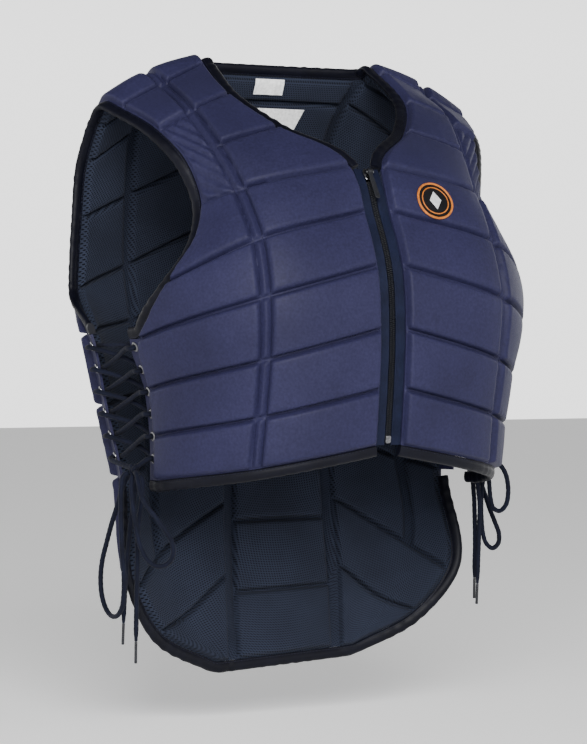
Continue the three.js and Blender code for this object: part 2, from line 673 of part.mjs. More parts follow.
function lacing() {
  const sides = [frontEyelets, backEyelets];
  const spot = (side, k, reach, height) => {
    const { point, normal, toGap } = sides[side][k];
    return point.clone().addScaledVector(toGap, reach).addScaledVector(normal, height);
  };
  const crossing = (k, lift) => {
    const corners = [0, 1].flatMap((side) => [spot(side, k, 0, 0), spot(side, k + 1, 0, 0)]);
    const middle = corners.reduce((sum, p) => sum.add(p), new THREE.Vector3()).divideScalar(4);
    const out = sides[0][k].normal.clone().add(sides[1][k].normal).normalize();
    return middle.addScaledVector(out, lift);
  };
  // one strand from the bar at the top down to its last eyelet
  const strand = (first, lift) => {
    const points = [];
    for (let k = 0; k < EYELET_COUNT; k++) {
      const side = (first + k) % 2;
      if (k > 0) {
        points.push(crossing(k - 1, k % 2 ? lift : -lift));
        points.push(spot(side, k, EDGE_REACH, UNDER));
      }
      points.push(spot(side, k, 0.4, UNDER));
      points.push(spot(side, k, 0.6, OVER));
      if (k < EYELET_COUNT - 1) points.push(spot(side, k, EDGE_REACH, OVER - 0.3));
    }
    return points;
  };
  const [one, other] = [strand(0, CROSS_LIFT), strand(1, -CROSS_LIFT)];
  const bar = [spot(0, 0, EDGE_REACH, UNDER), spot(1, 0, EDGE_REACH, UNDER)];
  const points = [KNOT, ...one.reverse(), ...bar, ...other, KNOT];
  const tube = toSolid(cord(points, points.length - 1, false));
  const knot = new THREE.SphereGeometry(KNOT_RADIUS, 10, 7);
  knot.translate(KNOT.x, KNOT.y, KNOT.z);
  return toGeometry(tube.add(toSolid(knot)));
}

addPair("lacing", lacing(), LACE);

// Routes of the free lace ends, each from the knot's face, as offsets from the knot
const CORD_STEP = 3.5 * LACE_DIAMETER;
const CORDS = {
  bow_loop_right_1: [
    [-1.4, 5.4, -4.2], [-2.3, 8.9, -6.9], [-4.5, 14, -16], [-7, 21, -34],
    [-9, 30, -52], [-10, 39, -70], [-11, 46, -86], [-11, 50, -102], [-11, 48, -117],
    [-11, 40, -129], [-11, 27, -136], [-11, 13, -135], [-11, 2, -126], [-12, -4, -112],
    [-13, -6, -94], [-14, -5, -74], [-14, -3, -54], [-13.5, -1, -34],
    [-12.5, 0.5, -18], [-9.9, 1.2, -5.8], [-6, 0.7, -3.5],
  ],
  bow_loop_right_2: [
    [-1.4, -6.3, -2.5], [-2.3, -10.5, -4.1], [-4, -18, -10], [-5, -25, -20],
    [-2, -31, -31], [5, -36, -42], [13, -40, -54], [19, -42, -66], [20, -41, -77],
    [16, -37, -85], [9, -32, -87], [2, -26, -82], [-2, -20, -71], [-4, -15, -56],
    [-5, -11, -40], [-5.5, -7.5, -24], [-4, -4, -10], [-2.4, -2.4, -6],
  ],
  lace_tail_right_1: [
    [4.2, -1.8, -5.3], [7, -2.9, -8.7], [6.5, -5, -18], [5, -6, -30],
    [3, -6, -42], [2, -5, -55], [2, -4, -66], [2, -3.5, -77], [2, -3, -88],
    [2, -2.5, -99], [2, -2, -110], [2, -1.5, -121], [2, -1, -132],
    [2, -0.5, -143], [2, 0, -158],
  ],
  lace_tail_right_2: [
    [3.1, 3.1, -5.4], [5.2, 5.2, -8.9], [5, 8, -19], [4, 9, -30],
    [3, 9.7, -41], [1.6, 10.8, -51], [1, 12, -61], [0.5, 13.5, -71],
    [0, 15, -81], [0, 16.5, -91], [0, 18, -101], [0, 19.5, -111],
    [0, 20.8, -121], [0, 22, -131], [0, 23, -143],
  ],
  bow_loop_left_1: [
    [6, -3.5, 0], [9.9, -5.8, 0], [15, -9, -2.3], [19.4, -10.3, -6.5],
    [23, -11, -13], [25.5, -11, -22], [26, -11, -32], [23.5, -11, -43], [16.5, -11, -49],
    [9, -11, -46], [5.8, -11, -37], [5.5, -9.5, -27], [5.8, -7.6, -17],
    [5.8, -5.8, -8.1], [3.5, -3.5, -4.9],
  ],
  bow_loop_left_2: [
    [2.8, 6, -2.1], [4.6, 10, -3.4], [7.5, 14.5, -12], [10, 13.5, -22],
    [13, 11, -34], [16, 7, -48], [19, 2, -61], [21, -2, -72], [19.5, -3, -81.5],
    [13.5, -2, -86], [7.5, 0, -81], [5.3, 2, -72], [5, 4, -60], [5, 5, -46],
    [5.5, 5, -32], [6.3, 4, -20], [6.3, 2.9, -9.2], [3.8, 1.7, -5.5],
  ],
  lace_tail_left_1: [
    [-3.5, -2.8, -5.3], [-5.7, -4.6, -8.8], [-6, -5.5, -19], [-4.7, -5.2, -29],
    [-3.4, -5, -38], [-2.7, -4.6, -46], [-2.7, -4.2, -54], [-2.7, -3.8, -62],
    [-2.7, -3.4, -70], [-2.7, -3, -78], [-2.7, -2.5, -86], [-2.7, -2, -94],
    [-2.7, -1.5, -102], [-2.7, -1, -110], [-2.7, -0.3, -120],
  ],
  lace_tail_left_2: [
    [-2.4, 2.8, -5.9], [-4, 4.6, -9.8], [-4, 5.8, -20], [-3.3, 6, -30],
    [-2.5, 6, -38], [-2.3, 6, -46], [-2, 6, -54], [-1.8, 6, -62],
    [-1.5, 6, -70], [-1.3, 6.3, -78], [-1, 6.7, -86], [-1, 7.2, -93],
    [-1, 7.6, -100], [-1, 7.8, -107], [-1, 8, -115],
  ],
};

for (const [name, stops] of Object.entries(CORDS)) {
  const knot = name.includes("right") ? flipX(KNOT) : KNOT;
  const points = stops.map((p) => new THREE.Vector3(...p).add(knot));
  const length = new THREE.CatmullRomCurve3(points).getLength();
  add(name, cord(points, Math.round(length / CORD_STEP), true), LACE);
  if (!name.startsWith("lace_tail")) continue;
  const end = points[points.length - 1];
  const down = end.clone().sub(points[points.length - 2]).normalize();
  const from = end.clone().addScaledVector(down, CLEARANCE);
  const to = from.clone().addScaledVector(down, AGLET_LENGTH);
  add(name.replace("lace_tail", "aglet"), rod(from, to, AGLET_DIAMETER / 2, 10), LACE);
}

// Zip along the middle of the front: place and outward normal at section i
function zipPlace(i) {
  const point = front.spot(i, 0).setX(0);
  const normal = front.normal(i, 0).setX(0).normalize();
  return { point, normal };
}

function zipStrip(stops, section) {
  const rings = stops.map((i) => {
    const { point, normal } = zipPlace(i);
    return section.map(([x, n]) => point.clone().setX(x).addScaledVector(normal, n));
  });
  return new Faces().sweep(rings).geometry();
}

const box = (x0, x1, half) => [[x0, -half], [x1, -half], [x1, half], [x0, half]];
const zipRows = Array.from({ length: HEM - ROW_A + 1 }, (_, k) => ROW_A + k);
const SLIDER_ROW = ROW_A + 0.05;
const CHAIN_TOP = SLIDER_ROW + 0.2;
const CHAIN_END = HEM - 0.2;
const tapeSection = box(CHAIN_HALF_WIDTH + CLEARANCE, ZIP_HALF_GAP - CLEARANCE, TAPE_THICK / 2);
addPair("zip_tape", zipStrip(zipRows, tapeSection), TAPE);
const chainRows = [CHAIN_TOP, ...zipRows.slice(1, -1), CHAIN_END];
const chainSection = box(CLEARANCE / 2, CHAIN_HALF_WIDTH, CHAIN_THICK / 2);
addPair("zip_teeth", zipStrip(chainRows, chainSection), CHAIN);

// The slider's own axes: across, down the chain and outwards from it
const sliderPlace = zipPlace(SLIDER_ROW);
const sliderDown = zipPlace(SLIDER_ROW + 0.5).point.sub(sliderPlace.point).normalize();
const sliderOut = new THREE.Vector3(1, 0, 0).cross(sliderDown).negate();
const sliderFrame = new THREE.Matrix4()
  .makeBasis(sliderOut, sliderDown, new THREE.Vector3(1, 0, 0))
  .setPosition(sliderPlace.point);

// A block given by its ranges outwards, down the chain and across
function sliderBlock(out, down, wide) {
  const ranges = [out, down, wide];
  const [size, middle] = [ranges.map(([a, b]) => b - a), ranges.map(([a, b]) => (a + b) / 2)];
  return new THREE.BoxGeometry(...size).translate(...middle);
}

const PLATE_NEAR = CHAIN_THICK / 2 + CLEARANCE;
const PLATE_FAR = PLATE_NEAR + SLIDER_PLATE;
const EYE_RADIUS = 2.6;
const PIN_OUT = PLATE_FAR + EYE_RADIUS + CLEARANCE;
const PIN_DOWN = 5;
const EAR_NEAR = PULL_WIDTH / 2 + CLEARANCE;
const EAR_FAR = EAR_NEAR + 1;
const wide = [-SLIDER_WIDTH / 2, SLIDER_WIDTH / 2];
const pin = new THREE.CylinderGeometry(PIN_DIAMETER / 2, PIN_DIAMETER / 2, 2 * EAR_NEAR + 1, 10);
pin.rotateX(Math.PI / 2).translate(PIN_OUT, PIN_DOWN, 0);
const sliderPieces = [
  sliderBlock([PLATE_NEAR, PLATE_FAR], [0, SLIDER_LENGTH], wide),
  sliderBlock([-PLATE_FAR, -PLATE_NEAR], [0, SLIDER_LENGTH], wide),
  sliderBlock([-PLATE_FAR, PLATE_FAR], [0, 3], [-1.5, 1.5]),
  sliderBlock([PLATE_NEAR, PIN_OUT + 1.4], [PIN_DOWN - 2, PIN_DOWN + 2], [EAR_NEAR, EAR_FAR]),
  sliderBlock([PLATE_NEAR, PIN_OUT + 1.4], [PIN_DOWN - 2, PIN_DOWN + 2], [-EAR_FAR, -EAR_NEAR]),
  pin,
];
const slider = sliderPieces.map(toSolid).reduce((whole, piece) => whole.add(piece));
add("zip_slider", toGeometry(slider).applyMatrix4(sliderFrame), STEEL);

// The pull: a barrel round the pin that runs on into a flat tab
const tab = new THREE.Shape();
tab.absarc(0, 0, EYE_RADIUS, Math.asin(PULL_THICK / 2 / EYE_RADIUS) + Math.PI / 2, 2.5 * Math.PI - 0.31, false);
tab.lineTo(PULL_THICK / 2, PULL_LENGTH);
tab.lineTo(-PULL_THICK / 2, PULL_LENGTH);
tab.holes.push(new THREE.Path().absarc(0, 0, PIN_DIAMETER / 2 + CLEARANCE, 0, 2 * Math.PI, true));
const pull = new THREE.ExtrudeGeometry(tab, { depth: PULL_WIDTH, bevelEnabled: false, curveSegments: 12 });
pull.translate(PIN_OUT, PIN_DOWN, -PULL_WIDTH / 2).applyMatrix4(sliderFrame);
add("zip_pull", pull, BINDING);

const stopPlace = zipPlace(HEM - 0.17);
const stopDown = zipPlace(HEM).point.sub(stopPlace.point).normalize();
const stopFrame = new THREE.Matrix4()
  .makeBasis(new THREE.Vector3(1, 0, 0).cross(stopDown).negate(), stopDown, new THREE.Vector3(1, 0, 0))
  .setPosition(stopPlace.point);
const stopHalf = CHAIN_THICK / 2 + 0.5;
const bottomStop = sliderBlock([-stopHalf, stopHalf], [0, STOP_LENGTH], [-STOP_WIDTH / 2, STOP_WIDTH / 2]);
add("zip_bottom_stop", bottomStop.applyMatrix4(stopFrame), STEEL);

// Labels on the lining's inner face: corners are [x across the spine, depth below the shoulder]
function label(corners) {
  const layer = (height) =>
    corners.map(([x, depth]) => {
      const i = sectionAt(back, 0.2, depth, 0, PIT);
      const s = x / back.spot(i, 1).x;
      return raised(back, i, s, -height);
    });
  const near = BLOCK_HALF + 4 * CLEARANCE;
  return new Faces().sweep([layer(near), layer(near + LABEL_THICK)]).geometry();
}

const NECK_LABEL_X = -11;
const NECK_LABEL_DEPTH = 12;
const HANG_LABEL_X = 2;
const HANG_LABEL_DEPTH = 36;
const [neckX, hangX] = [NECK_LABEL_WIDTH / 2, [HANG_LABEL_TOP / 2, HANG_LABEL_BOTTOM / 2]];
const neckLow = NECK_LABEL_DEPTH + NECK_LABEL_HEIGHT;
const hangLow = HANG_LABEL_DEPTH + HANG_LABEL_HEIGHT;
const neckLabel = label([
  [NECK_LABEL_X - neckX, NECK_LABEL_DEPTH],
  [NECK_LABEL_X + neckX, NECK_LABEL_DEPTH],
  [NECK_LABEL_X + neckX, neckLow],
  [NECK_LABEL_X - neckX, neckLow],
]);
const hangLabel = label([
  [HANG_LABEL_X - hangX[0], HANG_LABEL_DEPTH],
  [HANG_LABEL_X + hangX[0], HANG_LABEL_DEPTH],
  [HANG_LABEL_X + hangX[1], hangLow],
  [HANG_LABEL_X - hangX[1], hangLow],
]);
add("neck_label", neckLabel, LABEL);
add("hang_label", hangLabel, LABEL);

// Round patch on the chest block below the first full row, on the wearer's left
const PATCH_X = 54;
const PATCH_DEPTH = 143;
const PATCH_RISE = 0.25;
const patchRow = sectionAt(front, 0.54, PATCH_DEPTH, ROW_A, ROW_C);
const patchFrom = raised(front, patchRow, PATCH_X / 131, BLOCK_HALF + PATCH_RISE);
const patchOut = front.normal(patchRow, PATCH_X / 131);
const patchTo = patchFrom.clone().addScaledVector(patchOut, PATCH_THICK);
add("chest_patch", rod(patchFrom, patchTo, PATCH_DIAMETER / 2, PATCH_SIDES), PATCH);

export default vest;
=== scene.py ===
import math

import bmesh
import bpy
import numpy as np
from mathutils import Matrix, Vector


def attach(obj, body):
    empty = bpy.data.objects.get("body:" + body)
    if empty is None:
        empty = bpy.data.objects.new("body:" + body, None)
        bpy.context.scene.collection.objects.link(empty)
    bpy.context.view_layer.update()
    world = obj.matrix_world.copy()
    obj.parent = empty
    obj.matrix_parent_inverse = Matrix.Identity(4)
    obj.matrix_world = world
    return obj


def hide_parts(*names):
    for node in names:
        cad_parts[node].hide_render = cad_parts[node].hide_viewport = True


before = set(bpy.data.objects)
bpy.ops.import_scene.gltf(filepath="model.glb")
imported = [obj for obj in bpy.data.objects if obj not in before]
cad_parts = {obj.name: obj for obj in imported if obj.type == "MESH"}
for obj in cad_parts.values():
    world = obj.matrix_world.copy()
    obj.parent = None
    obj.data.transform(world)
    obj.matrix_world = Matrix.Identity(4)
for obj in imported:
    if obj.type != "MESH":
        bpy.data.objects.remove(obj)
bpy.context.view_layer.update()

# Camera at the photograph's viewing angle: from the wearer's right front, level with the chest,
# from far enough away that the sides stay nearly parallel.
CAMERA_AIM = Vector((-0.0384, -0.0700, -0.2644))
CAMERA_YAW = math.radians(28)
CAMERA_TILT = math.radians(-0.76)
CAMERA_DISTANCE = 2.6
CAMERA_LENS = 135.3
camera_data = bpy.data.cameras.new("camera")
camera_data.sensor_fit = "VERTICAL"
camera_data.sensor_height = 36
camera_data.lens = CAMERA_LENS
camera = bpy.data.objects.new("camera", camera_data)
bpy.context.scene.collection.objects.link(camera)
looking = Vector((
    math.sin(CAMERA_YAW) * math.cos(CAMERA_TILT),
    math.cos(CAMERA_YAW) * math.cos(CAMERA_TILT),
    math.sin(CAMERA_TILT),
))
camera.location = CAMERA_AIM - looking * CAMERA_DISTANCE
camera.rotation_euler = looking.to_track_quat("-Z", "Y").to_euler()
bpy.context.scene.camera = camera

# Free ends of the side laces: two loops and two tails of a bow on each side. Round braided
# polyester cord 4.5 mm thick, tied in a knot under the last eyelets; it hangs under its own weight.
MM = 0.001
SEAT = 29.0
LACE_RADIUS = 0.00225
BRAID_STRANDS = 8
BRAID_PITCH = 0.011
BRAID_RELIEF = 0.085
AGLET_RADIUS = 0.0014
AGLET_LENGTH = 0.020
CORD_ROUTES = {
    "bow_loop_right_1": [
        (-0.1874, -0.0306, -0.3572), (-0.1883, -0.0271, -0.3599), (-0.1905, -0.022, -0.369),
        (-0.193, -0.015, -0.387), (-0.195, -0.006, -0.405), (-0.196, 0.003, -0.423),
        (-0.197, 0.01, -0.439), (-0.197, 0.014, -0.455), (-0.197, 0.012, -0.47),
        (-0.197, 0.004, -0.482), (-0.197, -0.009, -0.489), (-0.197, -0.023, -0.488),
        (-0.197, -0.034, -0.479), (-0.198, -0.04, -0.465), (-0.199, -0.042, -0.447),
        (-0.2, -0.041, -0.427), (-0.2, -0.039, -0.407), (-0.1995, -0.037, -0.387),
        (-0.1985, -0.0355, -0.371), (-0.1959, -0.0348, -0.3588), (-0.192, -0.0353, -0.3565),
    ],
    "bow_loop_right_2": [
        (-0.1874, -0.0423, -0.3555), (-0.1883, -0.0465, -0.3571), (-0.19, -0.054, -0.363),
        (-0.191, -0.061, -0.373), (-0.188, -0.067, -0.384), (-0.181, -0.072, -0.395),
        (-0.173, -0.076, -0.407), (-0.167, -0.078, -0.419), (-0.166, -0.077, -0.43),
        (-0.17, -0.073, -0.438), (-0.177, -0.068, -0.44), (-0.184, -0.062, -0.435),
        (-0.188, -0.056, -0.424), (-0.19, -0.051, -0.409), (-0.191, -0.047, -0.393),
        (-0.1915, -0.0435, -0.377), (-0.19, -0.04, -0.363), (-0.1884, -0.0384, -0.359),
    ],
    "lace_tail_right_1": [
        (-0.1818, -0.0378, -0.3583), (-0.179, -0.0389, -0.3617), (-0.1795, -0.041, -0.371),
        (-0.181, -0.042, -0.383), (-0.183, -0.042, -0.395), (-0.184, -0.041, -0.408),
        (-0.184, -0.04, -0.419), (-0.184, -0.0395, -0.43), (-0.184, -0.039, -0.441),
        (-0.184, -0.0385, -0.452), (-0.184, -0.038, -0.463), (-0.184, -0.0375, -0.474),
        (-0.184, -0.037, -0.485), (-0.184, -0.0365, -0.496), (-0.184, -0.036, -0.511),
    ],
    "lace_tail_right_2": [
        (-0.1829, -0.0329, -0.3584), (-0.1808, -0.0308, -0.3619), (-0.181, -0.028, -0.372),
        (-0.182, -0.027, -0.383), (-0.183, -0.0263, -0.394), (-0.1844, -0.0252, -0.404),
        (-0.185, -0.024, -0.414), (-0.1855, -0.0225, -0.424), (-0.186, -0.021, -0.434),
        (-0.186, -0.0195, -0.444), (-0.186, -0.018, -0.454), (-0.186, -0.0165, -0.464),
        (-0.186, -0.0152, -0.474), (-0.186, -0.014, -0.484), (-0.186, -0.013, -0.496),
    ],
    "bow_loop_left_1": [
        (0.192, -0.0395, -0.353), (0.1959, -0.0418, -0.353), (0.201, -0.045, -0.3553),
        (0.2054, -0.0463, -0.3595), (0.209, -0.047, -0.366), (0.2115, -0.047, -0.375),
        (0.212, -0.047, -0.385), (0.2095, -0.047, -0.396), (0.2025, -0.047, -0.402),
        (0.195, -0.047, -0.399), (0.1918, -0.047, -0.39), (0.1915, -0.0455, -0.38),
        (0.1918, -0.0436, -0.37), (0.1918, -0.0418, -0.3611), (0.1895, -0.0395, -0.3579),
    ],
    "bow_loop_left_2": [
        (0.1888, -0.03, -0.3551), (0.1906, -0.026, -0.3564), (0.1935, -0.0215, -0.365),
        (0.196, -0.0225, -0.375), (0.199, -0.025, -0.387), (0.202, -0.029, -0.401),
        (0.205, -0.034, -0.414), (0.207, -0.038, -0.425), (0.2055, -0.039, -0.4345),
        (0.1995, -0.038, -0.439), (0.1935, -0.036, -0.434), (0.1913, -0.034, -0.425),
        (0.191, -0.032, -0.413), (0.191, -0.031, -0.399), (0.1915, -0.031, -0.385),
        (0.1923, -0.032, -0.373), (0.1923, -0.0331, -0.3622), (0.1898, -0.0343, -0.3585),
    ],
    "lace_tail_left_1": [
        (0.1825, -0.0388, -0.3583), (0.1803, -0.0406, -0.3618), (0.18, -0.0415, -0.372),
        (0.1813, -0.0412, -0.382), (0.1826, -0.041, -0.391), (0.1833, -0.0406, -0.399),
        (0.1833, -0.0402, -0.407), (0.1833, -0.0398, -0.415), (0.1833, -0.0394, -0.423),
        (0.1833, -0.039, -0.431), (0.1833, -0.0385, -0.439), (0.1833, -0.038, -0.447),
        (0.1833, -0.0375, -0.455), (0.1833, -0.037, -0.463), (0.1833, -0.0363, -0.473),
    ],
    "lace_tail_left_2": [
        (0.1836, -0.0332, -0.3589), (0.182, -0.0314, -0.3628), (0.182, -0.0302, -0.373),
        (0.1827, -0.03, -0.383), (0.1835, -0.03, -0.391), (0.1837, -0.03, -0.399),
        (0.184, -0.03, -0.407), (0.1842, -0.03, -0.415), (0.1845, -0.03, -0.423),
        (0.1847, -0.0297, -0.431), (0.185, -0.0293, -0.439), (0.185, -0.0288, -0.446),
        (0.185, -0.0284, -0.453), (0.185, -0.0282, -0.46), (0.185, -0.028, -0.468),
    ],
}


def through(points, step):
    """Evenly spaced points along the smooth curve through the given ones, and its length."""
    given = np.array(points, float)
    ends = np.vstack([2 * given[0] - given[1], given, 2 * given[-1] - given[-2]])
    dense = [given[0]]
    for a, b, c, d in zip(ends, ends[1:], ends[2:], ends[3:]):
        gaps = [np.linalg.norm(b - a) ** 0.5, np.linalg.norm(c - b) ** 0.5, np.linalg.norm(d - c) ** 0.5]
        t0, t1, t2, t3 = 0, gaps[0], gaps[0] + gaps[1], sum(gaps)
        for u in np.linspace(t1, t2, 13)[1:]:
            ab = a + (b - a) * (u - t0) / (t1 - t0)
            bc = b + (c - b) * (u - t1) / (t2 - t1)
            cd = c + (d - c) * (u - t2) / (t3 - t2)
            abc = ab + (bc - ab) * (u - t0) / (t2 - t0)
            bcd = bc + (cd - bc) * (u - t1) / (t3 - t1)
            dense.append(abc + (bcd - abc) * (u - t1) / (t2 - t1))
    dense = np.array(dense)
    run = np.concatenate([[0], np.cumsum(np.linalg.norm(np.diff(dense, axis=0), axis=1))])
    at = np.linspace(0, run[-1], max(int(round(run[-1] / step)), 2) + 1)
    return np.stack([np.interp(at, run, dense[:, k]) for k in range(3)], axis=1), run[-1]


def new_object(name, verts, faces, uv, material, smooth_angle=50):
    """A mesh object with its UV given for each vertex, its faces turned outwards."""
    mesh = bpy.data.meshes.new(name)
    mesh.from_pydata(np.asarray(verts).tolist(), [], [list(map(int, f)) for f in faces])
    if uv is not None:
        corners = np.empty(len(mesh.loops), dtype=np.int32)
        mesh.loops.foreach_get("vertex_index", corners)
        layer = mesh.uv_layers.new(name="UVMap")
        layer.data.foreach_set("uv", np.asarray(uv, dtype=np.float32)[corners].ravel())
    shape = bmesh.new()
    shape.from_mesh(mesh)
    bmesh.ops.recalc_face_normals(shape, faces=shape.faces)
    shape.to_mesh(mesh)
    shape.free()
    mesh.shade_smooth()
    mesh.set_sharp_from_angle(angle=math.radians(smooth_angle))
    mesh.materials.append(material)
    piece = bpy.data.objects.new(name, mesh)
    bpy.context.scene.collection.objects.link(piece)
    return piece


def node(tree, kind, values=None, **settings):
    """A shader or geometry node with its settings, and its sockets set or linked by name."""
    made = tree.nodes.new(kind)
    for key, value in settings.items():
        setattr(made, key, value)
    for key, value in (values or {}).items():
        if isinstance(value, bpy.types.NodeSocket):
            tree.links.new(value, made.inputs[key])
        else:
            made.inputs[key].default_value = value
    return made


def math_node(tree, operation, *values):
    return node(tree, "ShaderNodeMath", dict(enumerate(values)), operation=operation).outputs[0]


def colour_mix(tree, share, first, second, blend="MIX"):
    made = tree.nodes.new("ShaderNodeMix")
    made.data_type = "RGBA"
    made.blend_type = blend
    for socket, value in ((made.inputs[0], share), (made.inputs[6], first), (made.inputs[7], second)):
        if isinstance(value, bpy.types.NodeSocket):
            tree.links.new(value, socket)
        else:
            socket.default_value = value
    return made.outputs[2]


def new_group(name, inputs, outputs):
    group = bpy.data.node_groups.new(name, "ShaderNodeTree")
    for label, kind, value in inputs:
        socket = group.interface.new_socket(label, in_out="INPUT", socket_type="NodeSocket" + kind)
        if value is not None:
            socket.default_value = value
    for label, kind in outputs:
        group.interface.new_socket(label, in_out="OUTPUT", socket_type="NodeSocket" + kind)
    return group, group.nodes.new("NodeGroupInput"), group.nodes.new("NodeGroupOutput")


def new_material(name, roughness, **sockets):
    """A material with its constants on the Principled shader's own sockets."""
    material = bpy.data.materials.new(name)
    material.use_nodes = True
    shader = material.node_tree.nodes["Principled BSDF"]
    shader.inputs["Roughness"].default_value = roughness
    for key, value in sockets.items():
        shader.inputs[key.replace("_", " ")].default_value = value
    return material, material.node_tree, shader


def bump(tree, shader, height, strength, distance):
    made = node(tree, "ShaderNodeBump", {"Height": height, "Strength": strength, "Distance": distance})
    tree.links.new(made.outputs[0], shader.inputs["Normal"])


def put_group(tree, group, values):
    made = tree.nodes.new("ShaderNodeGroup")
    made.node_tree = group
    for key, value in values.items():
        if isinstance(value, bpy.types.NodeSocket):
            tree.links.new(value, made.inputs[key])
        else:
            made.inputs[key].default_value = value
    return made


# wear: slow, soft changes of colour over cloth, from handling and from how it was dyed
wear, wear_in, wear_out = new_group(
    "wear", [("Scale", "Float", 20.0), ("Low", "Float", 0.85), ("High", "Float", 1.1)], [("Shade", "Float")]
)
wear_place = wear.nodes.new("ShaderNodeTexCoord").outputs["Object"]
wear_cloud = node(wear, "ShaderNodeTexNoise", {"Vector": wear_place, "Scale": wear_in.outputs["Scale"], "Detail": 5.0})
wear_range = node(wear, "ShaderNodeMapRange", {
    "Value": wear_cloud.outputs[0], "From Min": 0.3, "From Max": 0.7,
    "To Min": wear_in.outputs["Low"], "To Max": wear_in.outputs["High"],
})
wear.links.new(wear_range.outputs[0], wear_out.inputs["Shade"])


def shaded(tree, colour, scale, low, high):
    """A colour that the wear group lightens and darkens a little over the piece."""
    shade = put_group(tree, wear, {"Scale": scale, "Low": low, "High": high}).outputs["Shade"]
    grey = node(tree, "ShaderNodeCombineXYZ", {"X": shade, "Y": shade, "Z": shade}).outputs[0]
    return colour_mix(tree, 1.0, colour, grey, "MULTIPLY")


# cross_weave: threads over and under each other along the piece's own UV, in metres
cross_weave, weave_in, weave_out = new_group(
    "cross_weave", [("Across", "Float", 0.0006), ("Along", "Float", 0.0006)], [("Height", "Float")]
)
weave_uv = node(cross_weave, "ShaderNodeSeparateXYZ", {0: cross_weave.nodes.new("ShaderNodeTexCoord").outputs["UV"]})
weave_turns = [
    math_node(cross_weave, "MULTIPLY", math_node(cross_weave, "DIVIDE", weave_uv.outputs[k], weave_in.outputs[k]), 6.28318)
    for k in (0, 1)
]
weave_waves = [math_node(cross_weave, "SINE", turn) for turn in weave_turns]
weave_height = math_node(cross_weave, "MULTIPLY_ADD", math_node(cross_weave, "MULTIPLY", *weave_waves), 0.5, 0.5)
cross_weave.links.new(weave_height, weave_out.inputs["Height"])


GRAIN_SCALE = 420.0


def woven(material_parts, colour, across, along, strength, distance, scale=25.0, low=0.85, high=1.12):
    """Finishes a cloth material: shaded colour and woven relief."""
    material, tree, shader = material_parts
    dyed = shaded(tree, colour, scale, low, high)
    tree.links.new(shaded(tree, dyed, GRAIN_SCALE, 0.84, 1.18), shader.inputs["Base Color"])
    weave = put_group(tree, cross_weave, {"Across": across, "Along": along}).outputs["Height"]
    bump(tree, shader, weave, strength, distance)
    return material


lace_cloth = woven(
    new_material("lace_braid", 0.72, Specular_IOR_Level=0.1, Sheen_Weight=0.03, Sheen_Roughness=0.5),
    (0.0035, 0.0045, 0.012, 1), 0.0009, 0.0014, 0.35, 0.0003, 60.0, 0.7, 1.25,
)


def sweep_tube(path, radius, sides, relief=0.0, taper=None):
    """Rings of a tube along a path, its ends closed, with UV round and along it in metres."""
    path = np.asarray(path, float)
    along = np.gradient(path, axis=0)
    along /= np.linalg.norm(along, axis=1)[:, None]
    side = np.cross(along[0], (0.3, 0.9, 0.2))
    run = np.concatenate([[0], np.cumsum(np.linalg.norm(np.diff(path, axis=0), axis=1))])
    angles = np.arange(sides) * 2 * math.pi / sides
    verts = []
    uv = []
    for k, point in enumerate(path):
        side = side - along[k] * side.dot(along[k])
        side /= np.linalg.norm(side)
        other = np.cross(along[k], side)
        turn = run[k] / BRAID_PITCH * 2 * math.pi
        strands = np.cos(BRAID_STRANDS / 2 * angles + turn) * np.cos(BRAID_STRANDS / 2 * angles - turn)
        size = radius * (1 + relief * strands) * (taper[k] if taper is not None else 1)
        verts.extend(point + np.cos(angles)[:, None] * side * size[:, None] + np.sin(angles)[:, None] * other * size[:, None])
        uv.extend((a / (2 * math.pi) * 6.283 * radius, run[k]) for a in angles)
    count = len(path)
    faces = []
    for k in range(count - 1):
        for j in range(sides):
            n = (j + 1) % sides
            faces.append((k * sides + j, k * sides + n, (k + 1) * sides + n, (k + 1) * sides + j))
    faces.append(tuple(reversed(range(sides))))
    faces.append(tuple((count - 1) * sides + j for j in range(sides)))
    return np.array(verts), faces, np.array(uv)


aglet_material, aglet_tree, aglet_shader = new_material("aglet_sleeve", 0.35, Specular_IOR_Level=0.3)
aglet_tree.links.new(shaded(aglet_tree, (0.012, 0.0125, 0.016, 1), 200.0, 0.8, 1.3), aglet_shader.inputs["Base Color"])
FREE_STEP = 0.0013
for cord_name, route in CORD_ROUTES.items():
    is_tail = cord_name.startswith("lace_tail")
    line, cord_length = through(route, FREE_STEP)
    ends = np.linspace(0, 1, len(line))
    taper = np.ones(len(line))
    if is_tail:
        from_end = (1 - ends) * cord_length
        taper = np.clip(0.62 + 0.38 * from_end / 0.009, 0, 1)
    cord_piece = new_object(cord_name + "_cord", *sweep_tube(line, LACE_RADIUS, 14, BRAID_RELIEF, taper), lace_cloth)
    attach(cord_piece, "vest")
    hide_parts(cord_name)
    if is_tail:
        aglet_name = cord_name.replace("lace_tail", "aglet")
        down = line[-1] - line[-6]
        down /= np.linalg.norm(down)
        start = line[-1] + down * 0.0003
        sleeve = np.array([start + down * AGLET_LENGTH * t for t in (0, 0.03, 0.2, 0.5, 0.8, 0.97, 1)])
        pinch = np.array([0.86, 1.0, 1.0, 0.97, 1.0, 1.0, 0.86])
        aglet = new_object(aglet_name + "_sleeve", *sweep_tube(sleeve, AGLET_RADIUS, 16, 0, pinch), aglet_material)
        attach(aglet, "vest")
        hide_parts(aglet_name)

# Padded panels: navy satin nylon outside, sewn through closed-cell foam blocks to an air-mesh
# lining. Rows of stitching pull grooves between the blocks. Two fronts and one back with a tail.
HALF_CHEST = 200
FRONT_REACH = 180
BACK_REACH = 100
FRONT_LENGTH = 370
BACK_LENGTH = 560
SPINE_STRIP = 8
FLANGE = 17
BLOCK_HALF = 9.0
WEB_HALF = 2.5
PULLED_HALF = 4.5
MIDDLE_GAP = 0.15
